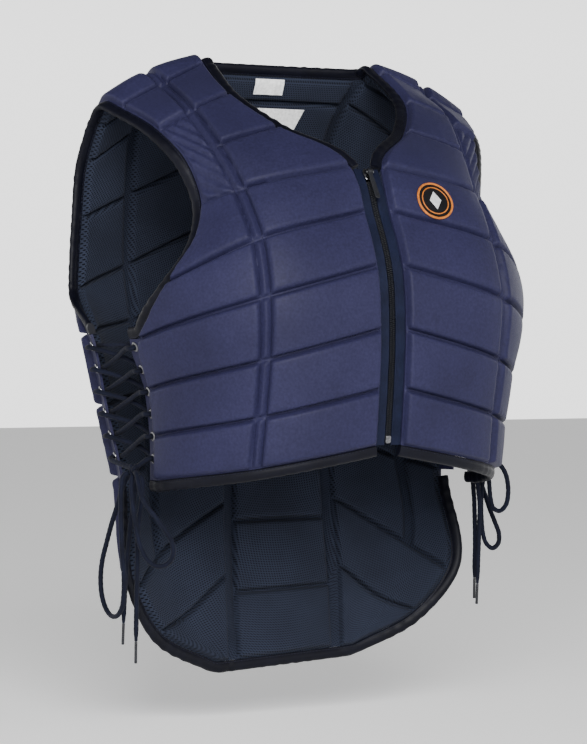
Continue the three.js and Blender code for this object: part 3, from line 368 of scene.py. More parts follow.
# name, quilted, inner, seam and outer (shares of chest, reach and length), start and end (degrees)
FRONT_SECTIONS = [
    ("shoulder_seam", 1, (0.455, 0.167, 0.019), (0.73, 0.2, 0.081), (0.95, 0.211, 0.162), 8, 3),
    ("crest", 0, (0.46, 0.089, 0.003), (0.725, 0.078, 0.051), (0.95, 0.078, 0.119), 0, 0),
    ("strap_1", 1, (0.465, 0.022, 0.022), (0.7, -0.011, 0.081), (0.915, -0.033, 0.141), -8, -3),
    ("strap_2", 1, (0.465, -0.261, 0.108), (0.685, -0.311, 0.157), (0.835, -0.289, 0.203), -12, 12),
    ("strap_3", 1, (0.33, -0.511, 0.195), (0.645, -0.506, 0.246), (0.765, -0.444, 0.278), -5, 30),
    ("row_a", 1, (0.08, -0.761, 0.292), (0.605, -0.689, 0.354), (0.73, -0.544, 0.384), 0, 54),
    ("arm_1", 0, (0.065, -0.828, 0.346), (0.603, -0.789, 0.414), (0.785, -0.606, 0.476), 0, 54),
    ("row_b", 1, (0.065, -0.878, 0.403), (0.6, -0.872, 0.476), (0.9, -0.567, 0.578), 0, 60),
    ("arm_2", 0, (0.065, -0.95, 0.468), (0.603, -0.928, 0.541), (0.95, -0.483, 0.643), 0, 66),
    ("row_c", 1, (0.065, -1.006, 0.535), (0.605, -0.961, 0.611), (0.955, -0.367, 0.708), 0, 80),
    ("row_d", 1, (0.065, -1.039, 0.686), (0.595, -0.939, 0.759), (0.88, -0.328, 0.832), 0, 90),
    ("row_e", 1, (0.065, -1.022, 0.83), (0.59, -0.883, 0.897), (0.855, -0.333, 0.949), 0, 90),
    ("hem", 1, (0.065, -0.989, 0.968), (0.595, -0.839, 1.022), (0.845, -0.317, 1.059), 0, 90),
]
# name, quilted, spine, spine edge, inner, seam, outer, start, end
BACK_SECTIONS = [
    ("collar", 1, (0.38, 0.014), 0.33, (0.455, 0.3, 0.0125), (0.73, 0.36, 0.0535), (0.95, 0.38, 0.107), 8, 3),
    ("yoke_1", 1, (0.49, 0.054), 0.475, (0.41, 0.47, 0.052), (0.73, 0.58, 0.111), (0.96, 0.58, 0.168), 0, 0),
    ("yoke_2", 1, (0.79, 0.179), 0.78, (0.34, 0.78, 0.157), (0.715, 0.77, 0.221), (0.975, 0.66, 0.264), 0, -20),
    ("arm", 0, (0.92, 0.239), 0.915, (0.31, 0.92, 0.218), (0.705, 0.86, 0.286), (0.985, 0.68, 0.325), -2, -28),
    ("blade", 1, (0.97, 0.3), 0.965, (0.285, 0.97, 0.275), (0.7, 0.87, 0.343), (1.0, 0.64, 0.386), -3, -38),
    ("pit", 1, (0.92, 0.421), 0.915, (0.275, 0.91, 0.389), (0.695, 0.78, 0.439), (1.02, 0.22, 0.461), -4, -75),
    ("waist_1", 1, (0.62, 0.543), 0.62, (0.275, 0.63, 0.512), (0.69, 0.55, 0.561), (0.945, 0.22, 0.58), -3, -75),
    ("waist_2", 1, (0.46, 0.662), 0.46, (0.28, 0.46, 0.632), (0.69, 0.4, 0.682), (0.87, 0.2, 0.7), -3, -75),
    ("tail_1", 1, (0.36, 0.78), 0.36, (0.29, 0.36, 0.748), (0.69, 0.2, 0.832), (0.85, -0.08, 0.875), -3, -50),
    ("tail_2", 1, (0.24, 0.895), 0.24, (0.3, 0.23, 0.864), (0.56, 0.14, 0.929), (0.695, 0.02, 0.946), -3, -24),
    ("tail_end", 1, (0.13, 1.002), 0.13, (0.3, 0.13, 1.002), (0.335, 0.12, 1.002), (0.375, 0.11, 1.0), 0, -5),
]
FRONT_ROWS = [row[0] for row in FRONT_SECTIONS]
BACK_ROWS = [row[0] for row in BACK_SECTIONS]
ROW_A = FRONT_ROWS.index("row_a")
ROW_C = FRONT_ROWS.index("row_c")
HEM = len(FRONT_ROWS) - 1
PIT = BACK_ROWS.index("pit")
WAIST_2 = BACK_ROWS.index("waist_2")
TAIL_1 = BACK_ROWS.index("tail_1")
TAIL_END = len(BACK_ROWS) - 1


def smooth(points, first=None, last=None):
    """A curve through rows of points, its direction at each weighted by the chords there."""
    chords = np.diff(points, axis=0)
    lengths = np.linalg.norm(chords, axis=-1, keepdims=True)
    slopes = chords / lengths
    inner = (slopes[:-1] * lengths[1:] + slopes[1:] * lengths[:-1]) / (lengths[:-1] + lengths[1:])
    first = slopes[:1] if first is None else np.broadcast_to(first, slopes[:1].shape)
    last = slopes[-1:] if last is None else np.broadcast_to(last, slopes[:1].shape)
    headings = np.concatenate([first, inner, last])

    def at(u):
        u = np.atleast_1d(np.asarray(u, float))
        k = np.clip(np.floor(u).astype(int), 0, len(chords) - 1)
        t = (u - k).reshape((-1,) + (1,) * (points.ndim - 1))
        reach = lengths[k]
        low = points[k] * (1 + 2 * t) * (1 - t) ** 2 + headings[k] * reach * t * (1 - t) ** 2
        return low + points[k + 1] * t * t * (3 - 2 * t) + headings[k + 1] * reach * t * t * (t - 1)

    return at


def half_section(inner, seam, outer, start, end, reach, length):
    """The curve of one section from its inner edge to its outer edge and the lacing flange."""
    stops = np.array([(x * HALF_CHEST, y * reach, -d * length) for x, y, d in (inner, seam, outer)])

    def heading(degrees, a, b):
        angle = math.radians(degrees)
        run = math.hypot(*(b - a)[:2])
        way = np.array((math.cos(angle), math.sin(angle), (b[2] - a[2]) / run))
        return way / np.linalg.norm(way)

    last = heading(end, stops[1], stops[2])
    curve = smooth(stops, heading(start, stops[0], stops[1]), last)
    flat = np.array((last[0], last[1], 0)) / math.hypot(last[0], last[1])

    def at(s):
        s = np.atleast_1d(np.asarray(s, float))
        beyond = np.clip(s - 2, 0, None)[:, None]
        return curve(np.clip(s, 0, 2)) + beyond * FLANGE * flat

    return at


def front_curve(row):
    return half_section(*row[2:7], FRONT_REACH, FRONT_LENGTH)


def back_curve(row):
    side = half_section(*row[4:9], BACK_REACH, BACK_LENGTH)
    spine = np.array((0, row[2][0] * BACK_REACH, -row[2][1] * BACK_LENGTH))
    start = side(0)[0]
    edge = np.array((start[0] - SPINE_STRIP, row[3] * BACK_REACH, spine[2]))
    middle = smooth(np.array([spine, edge]), (1, 0, 0), None)

    def at(s):
        s = np.atleast_1d(np.asarray(s, float))
        strip = edge + (start - edge) * np.clip(s - 1, 0, 1)[:, None]
        inner = np.where((s <= 1)[:, None], middle(np.clip(s, 0, 1)), strip)
        return np.where((s <= 2)[:, None], inner, side(np.clip(s - 2, 0, None)))

    return at


class Panel:
    """A panel's middle surface: spot(i, s) at section i and station s, and its outward normal."""

    def __init__(self, curves, outward):
        self.curves = curves
        self.sign = 1
        self.sign = np.sign(self.normals(len(curves) / 2, 0.5)[0, 0] @ np.array(outward, float))

    def spots(self, i, s):
        return smooth(np.stack([curve(s) for curve in self.curves]))(i)

    def normals(self, i, s, step=0.01):
        i = np.atleast_1d(np.asarray(i, float))
        s = np.atleast_1d(np.asarray(s, float))
        top = len(self.curves) - 1
        down = self.spots(np.clip(i + step, 0, top), s) - self.spots(np.clip(i - step, 0, top), s)
        side = self.spots(i, s + step) - self.spots(i, np.maximum(s - step, 0))
        facing = np.cross(down, side) * self.sign
        return facing / np.linalg.norm(facing, axis=-1, keepdims=True)

    def raised(self, i, s, height):
        """One point at a height over the middle; a negative station is on the wearer's right."""
        point = self.spots(i, abs(s))[0, 0] + self.normals(i, abs(s))[0, 0] * height
        return point * np.array((-1 if s < 0 else 1, 1, 1))


front = Panel([front_curve(row) for row in FRONT_SECTIONS], (0, -1, 0))
back = Panel([back_curve(row) for row in BACK_SECTIONS], (0, 1, 0))

TAIL_SWAY = 6
TAIL_TILT = 9
TAIL_TILT_REACH = 75
TAIL_HANG_FROM = 0.72 * BACK_LENGTH


def to_metres(points):
    """Millimetres below the shoulder ridge to metres; the tail hangs a little to the wearer's
    right, and lower there."""
    points = np.array(points, float)
    share = np.clip((-points[..., 2] - TAIL_HANG_FROM) / (BACK_LENGTH - TAIL_HANG_FROM), 0, 1)
    across = np.clip(points[..., 0] / TAIL_TILT_REACH, -1, 1)
    points[..., 0] -= share * TAIL_SWAY
    points[..., 2] += SEAT - share * TAIL_TILT * (1 - across) / 2
    return points * MM


EYELET_INSET = 9
EYELET_COUNT = 6
FRONT_EYELETS = (0.054, 0.846)
BACK_EYELETS = (0.081, 0.85)


def eyelet_places(panel, outer, low, high, shares):
    """(point, normal, way to the gap) of a flange's eyelets on the wearer's left."""
    station = outer + EYELET_INSET / FLANGE
    rows = np.linspace(low, high, 400)
    depths = -panel.spots(rows, station)[:, 0, 2]
    places = []
    for k in range(EYELET_COUNT):
        share = shares[0] + (shares[1] - shares[0]) * k / (EYELET_COUNT - 1)
        row = np.interp(depths[0] + share * (depths[-1] - depths[0]), depths, rows)
        point = panel.raised(row, station, 0)
        to_gap = panel.raised(row, station + 0.2, 0) - point
        places.append((point, panel.normals(row, station)[0, 0], to_gap / np.linalg.norm(to_gap)))
    return places


front_eyelets = eyelet_places(front, 2, ROW_C, HEM, FRONT_EYELETS)
back_eyelets = eyelet_places(back, 4, PIT, WAIST_2, BACK_EYELETS)


EDGE_CROWDING = 0.115


def spread(stops, counts):
    """Numbers from stop to stop, closer together near the stops, and where the stops are."""
    values = [stops[0]]
    places = [0]
    for a, b, count in zip(stops, stops[1:], counts):
        share = np.linspace(0, 1, count + 1)[1:]
        values.extend(a + (b - a) * (share - EDGE_CROWDING * np.sin(2 * math.pi * share)))
        places.append(len(values) - 1)
    return np.array(values), places


SEAM_STEP = 0.012
front_i, front_row_at = spread([SEAM_STEP, *range(1, HEM + 1)], [16, 16, 24, 28, 18, 16, 16, 16, 16, 22, 22, 22])
front_s, front_line_at = spread([0, 1, 2], [40, 44])
back_i, back_row_at = spread([SEAM_STEP, *range(1, TAIL_END + 1)], [16, 22, 18, 20, 22, 22, 22, 22, 22, 22])
half_s, half_line_at = spread([0, 1, 2, 3, 4], [14, 4, 26, 24])
back_s = np.concatenate([-half_s[:0:-1], half_s])
HALF = len(half_s) - 1

front_points = front.spots(front_i, front_s)
front_normals = front.normals(front_i, front_s)
half_points = back.spots(back_i, half_s)
half_normals = back.normals(back_i, half_s)
half_normals[:, 0, 0] = 0
# front and back turn to one shared direction at the shoulder seam, on a grid of like stations
shared = front.normals(SEAM_STEP, np.linspace(0, 2, 57))[0] + back.normals(SEAM_STEP, np.linspace(2, 4, 57))[0]
shared /= np.linalg.norm(shared, axis=-1, keepdims=True)
SEAM_BLEND = 7


def share_seam(normals, stations, first):
    at = (stations - first) / 2 * 56
    seam = np.stack([np.interp(at, np.arange(57), shared[:, k]) for k in range(3)], axis=-1)
    on_strap = ((stations >= first) & (stations <= first + 2))[:, None]
    for k in range(SEAM_BLEND):
        own = k / SEAM_BLEND
        mixed = normals[k] * own + seam * (1 - own)
        normals[k] = np.where(on_strap, mixed, normals[k])
    return normals / np.linalg.norm(normals, axis=-1, keepdims=True)


front_normals = share_seam(front_normals, front_s, 0)
half_normals = share_seam(half_normals, half_s, 2)
FLIP = np.array((-1, 1, 1))
back_points = np.concatenate([half_points[:, :0:-1] * FLIP, half_points], axis=1)
back_normals = np.concatenate([half_normals[:, :0:-1] * FLIP, half_normals], axis=1)


def runs(points):
    """Distances in millimetres along the rows and down the columns of a grid."""
    across = np.linalg.norm(np.diff(points, axis=1), axis=-1)
    down = np.linalg.norm(np.diff(points, axis=0), axis=-1)
    return (
        np.concatenate([np.zeros((len(points), 1)), np.cumsum(across, axis=1)], axis=1),
        np.concatenate([np.zeros((1, points.shape[1])), np.cumsum(down, axis=0)], axis=0),
    )


EDGE_SLOPE = 4.6
PLEAT = 3.2


def shoulder(distance, flat, slope):
    """A block's edge: 0 on the flat web, then a steep side, a tight turn and 1 on top."""
    t = np.clip((distance - flat) / slope, 0, 1)
    return (1 - (1 - t) ** 3.2) * np.clip(t * 4, 0, 1) ** 0.5


def quilt(points, blocks, seed, lift, pleat):
    """Heights of the quilted surface over the middle. Each block is its first and last row and
    line on the grid, its half thickness, and the web left at its line edges, where a pleat of cover
    cloth stands up between the two columns."""
    u, v = runs(points)
    height = np.full(u.shape, WEB_HALF)
    chance = np.random.default_rng(seed)
    for (i0, i1), (j0, j1), half, (flat_low, flat_high), creased in blocks:
        rows = slice(i0, i1 + 1)
        lines = slice(j0, j1 + 1)
        left = u[rows, lines] - u[rows, j0:j0 + 1]
        right = u[rows, j1:j1 + 1] - u[rows, lines]
        above = v[rows, lines] - v[i0:i0 + 1, lines]
        below = v[i1:i1 + 1, lines] - v[rows, lines]
        form = shoulder(left, flat_low, EDGE_SLOPE) * shoulder(right, flat_high, EDGE_SLOPE)
        form = form * shoulder(above, 0.8, EDGE_SLOPE) * shoulder(below, 0.8, EDGE_SLOPE)
        wide = left / np.maximum(left + right, 1)
        tall = above / np.maximum(above + below, 1)
        crown = 16 * wide * (1 - wide) * tall * (1 - tall)
        bulge = WEB_HALF + (half - WEB_HALF) * form + lift * crown
        for distance, flat in ((left, flat_low), (right, flat_high)):
            if flat > 2:
                ridge = np.clip(1.05 - distance / flat, 0, 1) ** 0.8
                bulge += pleat * ridge * shoulder(above, 0.8, EDGE_SLOPE) * shoulder(below, 0.8, EDGE_SLOPE)
        near_row = np.minimum(above, below)
        near_line = np.minimum(left, right)
        for distance, along in ((near_row, left), (near_line, above)):
            for _ in range(3):
                wave = chance.uniform(7, 17)
                phase = chance.uniform(0, 6.28)
                lean = chance.uniform(-0.5, 0.5)
                pucker = np.sin((along + lean * distance) * 2 * math.pi / wave + phase)
                bulge += 0.22 * pucker * np.exp(-distance / 7) * form
        if creased:
            turn = math.radians(creased)
            cross = (left - left.mean()) * math.sin(turn) + (above - above.mean()) * math.cos(turn)
            fold = np.abs(np.sin(cross * math.pi / 8.5 + 0.6 * np.sin(cross / 9)))
            bulge += (2.6 * fold - 1.2) * form
        height[rows, lines] = bulge
    return height


def slab(points, normals, outer, inner, cells):
    """A closed padded layer between two heights over the grid, where cells are wanted."""
    verts = np.concatenate([(points + normals * height[..., None]).reshape(-1, 3) for height in (outer, inner)])
    rows, lines = outer.shape
    under = rows * lines
    index = np.arange(under).reshape(rows, lines)
    want = np.zeros((rows + 1, lines + 1), bool)
    want[1:-1, 1:-1] = cells
    a, b, c, d = index[:-1, :-1], index[:-1, 1:], index[1:, 1:], index[1:, :-1]
    faces = [np.stack([q[cells] for q in (a, b, c, d)], axis=1)]
    faces.append(np.stack([q[cells] + under for q in (d, c, b, a)], axis=1))
    edges = (
        (cells & ~want[:-2, 1:-1], a, b), (cells & ~want[1:-1, 2:], b, c),
        (cells & ~want[2:, 1:-1], c, d), (cells & ~want[1:-1, :-2], d, a),
    )
    for open_here, start, stop in edges:
        p, q = start[open_here], stop[open_here]
        faces.append(np.stack([q, p, p + under, q + under], axis=1))
    used, packed = np.unique(np.concatenate(faces), return_inverse=True)
    u, v = runs(points)
    uv = np.stack([u, v], axis=-1).reshape(-1, 2) * MM
    return to_metres(verts[used]), packed.reshape(-1, 4), np.concatenate([uv, uv])[used]


def joined(name, parts, material):
    """One object from several (verts, faces, uv) parts."""
    faces = []
    count = 0
    for verts, part_faces, _ in parts:
        faces.extend((part_faces + count).tolist())
        count += len(verts)
    return new_object(name, np.vstack([p[0] for p in parts]), faces, np.vstack([p[2] for p in parts]), material, 60)


HOLE_RADIUS = 3.7
FLANGE_CELL = 1.75


def flange(panel, first, low, high, eyelets, turned):
    """The flat flange beside the lacing, its cover cut out under each eyelet."""
    length = np.linalg.norm(panel.spots(high, first)[0, 0] - panel.spots(low, first)[0, 0])
    rows = np.linspace(low, high, int(length / FLANGE_CELL))
    stations = np.linspace(first, first + 1, 11)
    points = panel.spots(rows, stations)
    normals = panel.normals(rows, stations)
    inside = np.zeros(points.shape[:2], bool)
    for centre, _, _ in eyelets:
        away = points - centre
        far = np.linalg.norm(away, axis=-1)
        near = far < HOLE_RADIUS
        points[near] = centre + away[near] * (HOLE_RADIUS / np.maximum(far[near], 0.01))[:, None]
        inside |= near
    gone = inside[:-1, :-1] & inside[:-1, 1:] & inside[1:, 1:] & inside[1:, :-1]
    ripple = 0.18 * np.sin(rows * 9.0)[:, None] * np.sin(stations * 4.0)[None]
    outer = np.full(inside.shape, WEB_HALF) + ripple
    return slab(points * turned, normals * turned, outer, np.full(inside.shape, MIDDLE_GAP), ~gone)


def spans(sections, skip=()):
    quilted = [k for k, row in enumerate(sections) if row[1] and k not in skip]
    return list(zip(quilted, quilted[1:]))


STRAP_2 = FRONT_ROWS.index("strap_2")
STRAP_3 = FRONT_ROWS.index("strap_3")
front_blocks = []
for a, b in spans(FRONT_SECTIONS):
    rows = (front_row_at[a], front_row_at[b])
    front_blocks.append((rows, (front_line_at[0], front_line_at[1]), BLOCK_HALF, (1, 4.5), 0))
for a, b in spans(FRONT_SECTIONS, [STRAP_3]):
    rows = (front_row_at[a], front_row_at[b])
    pulled = a == STRAP_2
    half = PULLED_HALF if pulled else BLOCK_HALF
    front_blocks.append((rows, (front_line_at[1], front_line_at[2]), half, (4.5, 1), 62 if pulled else 0))

back_blocks = []
for a, b in spans(BACK_SECTIONS):
    rows = (back_row_at[a], back_row_at[b])
    middle = (HALF - half_line_at[1], HALF + half_line_at[1])
    back_blocks.append((rows, middle, BLOCK_HALF, (1, 1), 0))
    columns = [(2, 4)] if a >= TAIL_1 else [(2, 3), (3, 4)]
    for j0, j1 in columns:
        flats = (4.5 if j0 == 3 else 1, 4.5 if j1 == 3 else 1)
        back_blocks.append((rows, (HALF + half_line_at[j0], HALF + half_line_at[j1]), BLOCK_HALF, flats, 0))
        mirror = (HALF - half_line_at[j1], HALF - half_line_at[j0])
        back_blocks.append((rows, mirror, BLOCK_HALF, flats[::-1], 0))

satin_parts = new_material("navy_satin", 0.5, Specular_IOR_Level=0.1, Sheen_Weight=0.02, Sheen_Tint=(0.5, 0.52, 1, 1))
satin = woven(satin_parts, (0.0162, 0.0156, 0.0425, 1), 0.0007, 0.0005, 0.25, 0.00012, 14.0, 0.86, 1.12)

# air_mesh: a knitted net of small round holes in staggered rows, along the piece's own UV
air_mesh, mesh_in, mesh_out = new_group("air_mesh", [("Pitch", "Float", 0.0024)], [("Hole", "Float"), ("Height", "Float")])
mesh_uv = node(air_mesh, "ShaderNodeSeparateXYZ", {0: air_mesh.nodes.new("ShaderNodeTexCoord").outputs["UV"]})
mesh_x, mesh_y = [
    math_node(air_mesh, "MULTIPLY", math_node(air_mesh, "DIVIDE", mesh_uv.outputs[k], mesh_in.outputs[0]), 6.28318)
    for k in (0, 1)
]
mesh_slant = math_node(air_mesh, "MULTIPLY", mesh_y, 0.57735)
mesh_waves = [
    math_node(air_mesh, "COSINE", math_node(air_mesh, "MULTIPLY", mesh_y, 1.1547)),
    math_node(air_mesh, "COSINE", math_node(air_mesh, "ADD", mesh_x, mesh_slant)),
    math_node(air_mesh, "COSINE", math_node(air_mesh, "SUBTRACT", mesh_x, mesh_slant)),
]
mesh_sum = math_node(air_mesh, "ADD", math_node(air_mesh, "ADD", mesh_waves[0], mesh_waves[1]), mesh_waves[2])
mesh_hole = node(air_mesh, "ShaderNodeMapRange", {"Value": mesh_sum, "From Min": 0.2, "From Max": 1.2})
mesh_height = math_node(air_mesh, "SUBTRACT", 1.0, mesh_hole.outputs[0])
air_mesh.links.new(mesh_hole.outputs[0], mesh_out.inputs["Hole"])
air_mesh.links.new(mesh_height, mesh_out.inputs["Height"])

lining_cloth, lining_tree, lining_shader = new_material(
    "air_mesh_lining", 0.78, Specular_IOR_Level=0.08, Sheen_Weight=0.02, Sheen_Roughness=0.6
)
mesh_node = put_group(lining_tree, air_mesh, {"Pitch": 0.0026})
threads = shaded(lining_tree, (0.0165, 0.0205, 0.0355, 1), 18.0, 0.8, 1.15)
# Where the Hole mask is set, the threads give way to near black: painted shade inside each opening of the net. The
# threads keep the lining's own colour.
threads_with_painted_hole_shade = colour_mix(lining_tree, mesh_node.outputs["Hole"], threads, (0.0012, 0.0016, 0.004, 1))
lining_tree.links.new(threads_with_painted_hole_shade, lining_shader.inputs["Base Color"])
bump(lining_tree, lining_shader, mesh_node.outputs["Height"], 0.6, 0.0005)

front_rise = quilt(front_points, front_blocks, 11, 0.7, PLEAT)
front_inner = quilt(front_points, front_blocks, 12, 0.6, 0)
back_rise = quilt(back_points, back_blocks, 21, 0.7, PLEAT)
back_inner = quilt(back_points, back_blocks, 22, 0.6, 0)
panels = []
middle_front = np.full(front_rise.shape, MIDDLE_GAP)
middle_back = np.full(back_rise.shape, MIDDLE_GAP)
front_cells = np.ones((len(front_i) - 1, len(front_s) - 1), bool)
back_cells = np.ones((len(back_i) - 1, len(back_s) - 1), bool)
back_flanges = []
for side, turned in (("left", np.array((1, 1, 1))), ("right", FLIP)):
    grid = (front_points * turned, front_normals * turned)
    front_flange = flange(front, 2, ROW_C, HEM, front_eyelets, turned)
    back_flanges.append(flange(back, 4, PIT, WAIST_2, back_eyelets, turned))
    cover = joined("cover_" + side, [slab(*grid, front_rise, middle_front, front_cells), front_flange], satin)
    liner = joined("mesh_" + side, [slab(*grid, -front_inner, -middle_front, front_cells)], lining_cloth)
    panels.append((cover, "front_shell_" + side, "cover", 0.6))
    panels.append((liner, "front_lining_" + side, "lining", 0.5))
back_cover = slab(back_points, back_normals, back_rise, middle_back, back_cells)
cover = joined("cover_back", [back_cover, *back_flanges], satin)
liner = joined("mesh_back", [slab(back_points, back_normals, -back_inner, -middle_back, back_cells)], lining_cloth)
panels.append((cover, "back_shell", "cover", 0.6))
panels.append((liner, "back_lining", "lining", 0.5))
for piece, cad_node, finish, fill in panels:
    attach(piece, "vest")
    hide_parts(cad_node)

# Repeats made by geometry nodes: one small mesh copied to many places, each turned to lie along
# its row. Stitches, eyelets and zip teeth all use it.
repeat_tree = bpy.data.node_groups.new("repeat", "GeometryNodeTree")
repeat_tree.interface.new_socket("Places", in_out="INPUT", socket_type="NodeSocketGeometry")
repeat_sockets = {}
for label, kind in (("Item", "Object"), ("Size", "Float"), ("Finish", "Material")):
    socket = repeat_tree.interface.new_socket(label, in_out="INPUT", socket_type="NodeSocket" + kind)
    repeat_sockets[label] = socket.identifier
repeat_tree.interface.new_socket("Copies", in_out="OUTPUT", socket_type="NodeSocketGeometry")
repeat_in = repeat_tree.nodes.new("NodeGroupInput").outputs
repeat_item = node(repeat_tree, "GeometryNodeObjectInfo", {"Object": repeat_in["Item"]})
repeat_turn = node(repeat_tree, "GeometryNodeInputNamedAttribute", {"Name": "turn"}, data_type="FLOAT_VECTOR")
repeat_copies = node(repeat_tree, "GeometryNodeInstanceOnPoints", {
    "Points": repeat_in["Places"], "Instance": repeat_item.outputs["Geometry"],
    "Rotation": repeat_turn.outputs[0], "Scale": repeat_in["Size"],
})
repeat_real = node(repeat_tree, "GeometryNodeRealizeInstances", {"Geometry": repeat_copies.outputs[0]})
repeat_set = node(repeat_tree, "GeometryNodeSetMaterial", {
    "Geometry": repeat_real.outputs[0], "Material": repeat_in["Finish"],
})
repeat_tree.links.new(repeat_set.outputs[0], repeat_tree.nodes.new("NodeGroupOutput").inputs[0])


def repeat(name, item, places, material, size=1.0):
    """Copies of an item at (point, along, up) places in metres, as one plain mesh."""
    mesh = bpy.data.meshes.new(name)
    mesh.from_pydata([tuple(point) for point, _, _ in places], [], [])
    turns = mesh.attributes.new("turn", "FLOAT_VECTOR", "POINT")
    flat = []
    for _, along, up in places:
        x = Vector(along).normalized()
        z = Vector(up)
        z = (z - x * z.dot(x)).normalized()
        flat.extend(Matrix((x, z.cross(x), z)).transposed().to_euler())
    turns.data.foreach_set("vector", flat)
    holder = bpy.data.objects.new(name, mesh)
    bpy.context.scene.collection.objects.link(holder)
    copies = holder.modifiers.new("repeat", "NODES")
    copies.node_group = repeat_tree
    copies[repeat_sockets["Item"]] = item
    copies[repeat_sockets["Size"]] = size
    copies[repeat_sockets["Finish"]] = material
    bpy.context.view_layer.update()
    seen = holder.evaluated_get(bpy.context.evaluated_depsgraph_get())
    made = bpy.data.meshes.new_from_object(seen)
    holder.modifiers.clear()
    holder.data = made
    made.name = name
    return holder


def lathe_item(name, profile, sides):
    """A closed ring turned from its (radius, height) profile, axis up, in metres."""
    verts = []
    faces = []
    count = len(profile)
    for k in range(sides):
        angle = 2 * math.pi * k / sides
        verts.extend((r * math.cos(angle) * MM, r * math.sin(angle) * MM, h * MM) for r, h in profile)
    for k in range(sides):
        n = (k + 1) % sides
        for j in range(count):
            m = (j + 1) % count
            faces.append((k * count + j, n * count + j, n * count + m, k * count + m))
    return new_object(name, verts, faces, None, lace_cloth, 40)


def pellet_item(name, length, width, height, sides=6, rings=4, square=1.0):
    """A small rounded pellet lying along X, such as a stitch or a tooth."""
    verts = [(-length / 2, 0, 0)]
    for k in range(1, rings):
        turn = math.pi * k / rings
        around = math.sin(turn) ** square
        for j in range(sides):
            angle = 2 * math.pi * j / sides
            verts.append((-math.cos(turn) * length / 2, math.cos(angle) * around * width / 2, math.sin(angle) * around * height / 2))
    verts.append((length / 2, 0, 0))
    faces = [(0, 1 + (j + 1) % sides, 1 + j) for j in range(sides)]
    for k in range(rings - 2):
        low = 1 + k * sides
        faces.extend((low + j, low + (j + 1) % sides, low + sides + (j + 1) % sides, low + sides + j) for j in range(sides))
    low = 1 + (rings - 2) * sides
    faces.extend((low + j, low + (j + 1) % sides, len(verts) - 1) for j in range(sides))
    return new_object(name, np.array(verts) * MM, faces, None, lace_cloth, 80)


# Edge binding: black satin tape 11 mm wide folded over each raw edge and sewn through. One run
# round the neck, one round each armhole, one along each front hem and one round the tail.
BINDING_SECTION = np.array((
    (0.1, 2.2), (0.7, 3.1), (1.7, 2.75), (2.8, 3.25), (5.2, 3.35), (7.6, 3.0), (9.5, 2.0), (10.5, 0.7),
))
BINDING_SECTION = np.vstack([BINDING_SECTION, BINDING_SECTION[::-1] * (1, -1)])
INTO = 0.05
BINDING_STEP = 2.6
STITCH_PITCH = 3.4
binding_cloth = woven(
    new_material("satin_tape", 0.42, Specular_IOR_Level=0.12, Sheen_Weight=0.02, Sheen_Roughness=0.3),
    (0.0026, 0.0028, 0.0062, 1), 0.0009, 0.0007, 0.3, 0.00015, 40.0, 0.75, 1.25,
)
thread_cloth = woven(
    new_material("sewing_thread", 0.55, Specular_IOR_Level=0.15), (0.011, 0.0115, 0.026, 1), 0.0004, 0.0004, 0.3, 0.0001, 300.0, 0.7, 1.3
)
stitch_item = pellet_item("stitch_item", 2.5, 0.55, 0.5)


def edge_line(stops):
    """Fine points of an edge with the ways out of the panel and up from it."""
    points, outs, ups = [], [], []
    for (panel, i0, s0, into0), (_, i1, s1, into1) in zip(stops, stops[1:]):
        if panel is not _:
            continue
        reach = np.linalg.norm(panel.raised(i1, s1, 0) - panel.raised(i0, s0, 0))
        count = max(int(reach / BINDING_STEP), 1)
        for t in np.linspace(0, 1, count + 1)[:-1]:
            i, s = i0 + (i1 - i0) * t, s0 + (s1 - s0) * t
            into = [a + (b - a) * t for a, b in zip(into0, into1)]
            here = panel.raised(i, s, 0)
            points.append(here)
            ups.append(panel.normals(i, s)[0, 0])
            outs.append(here - panel.raised(max(i + into[0] * INTO, 0), s + into[1] * INTO, 0))
    panel, i, s, into = stops[-1]
    points.append(panel.raised(i, s, 0))
    ups.append(panel.normals(i, s)[0, 0])
    outs.append(points[-1] - panel.raised(i + into[0] * INTO, s + into[1] * INTO, 0))
    return np.array(points), np.array(outs), np.array(ups)


def soften(values, times):
    """Values of a line eased towards their neighbours, its two ends kept."""
    values = values.copy()
    for _ in range(times):
        values[1:-1] = (values[:-2] + 2 * values[1:-1] + values[2:]) / 4
    return values


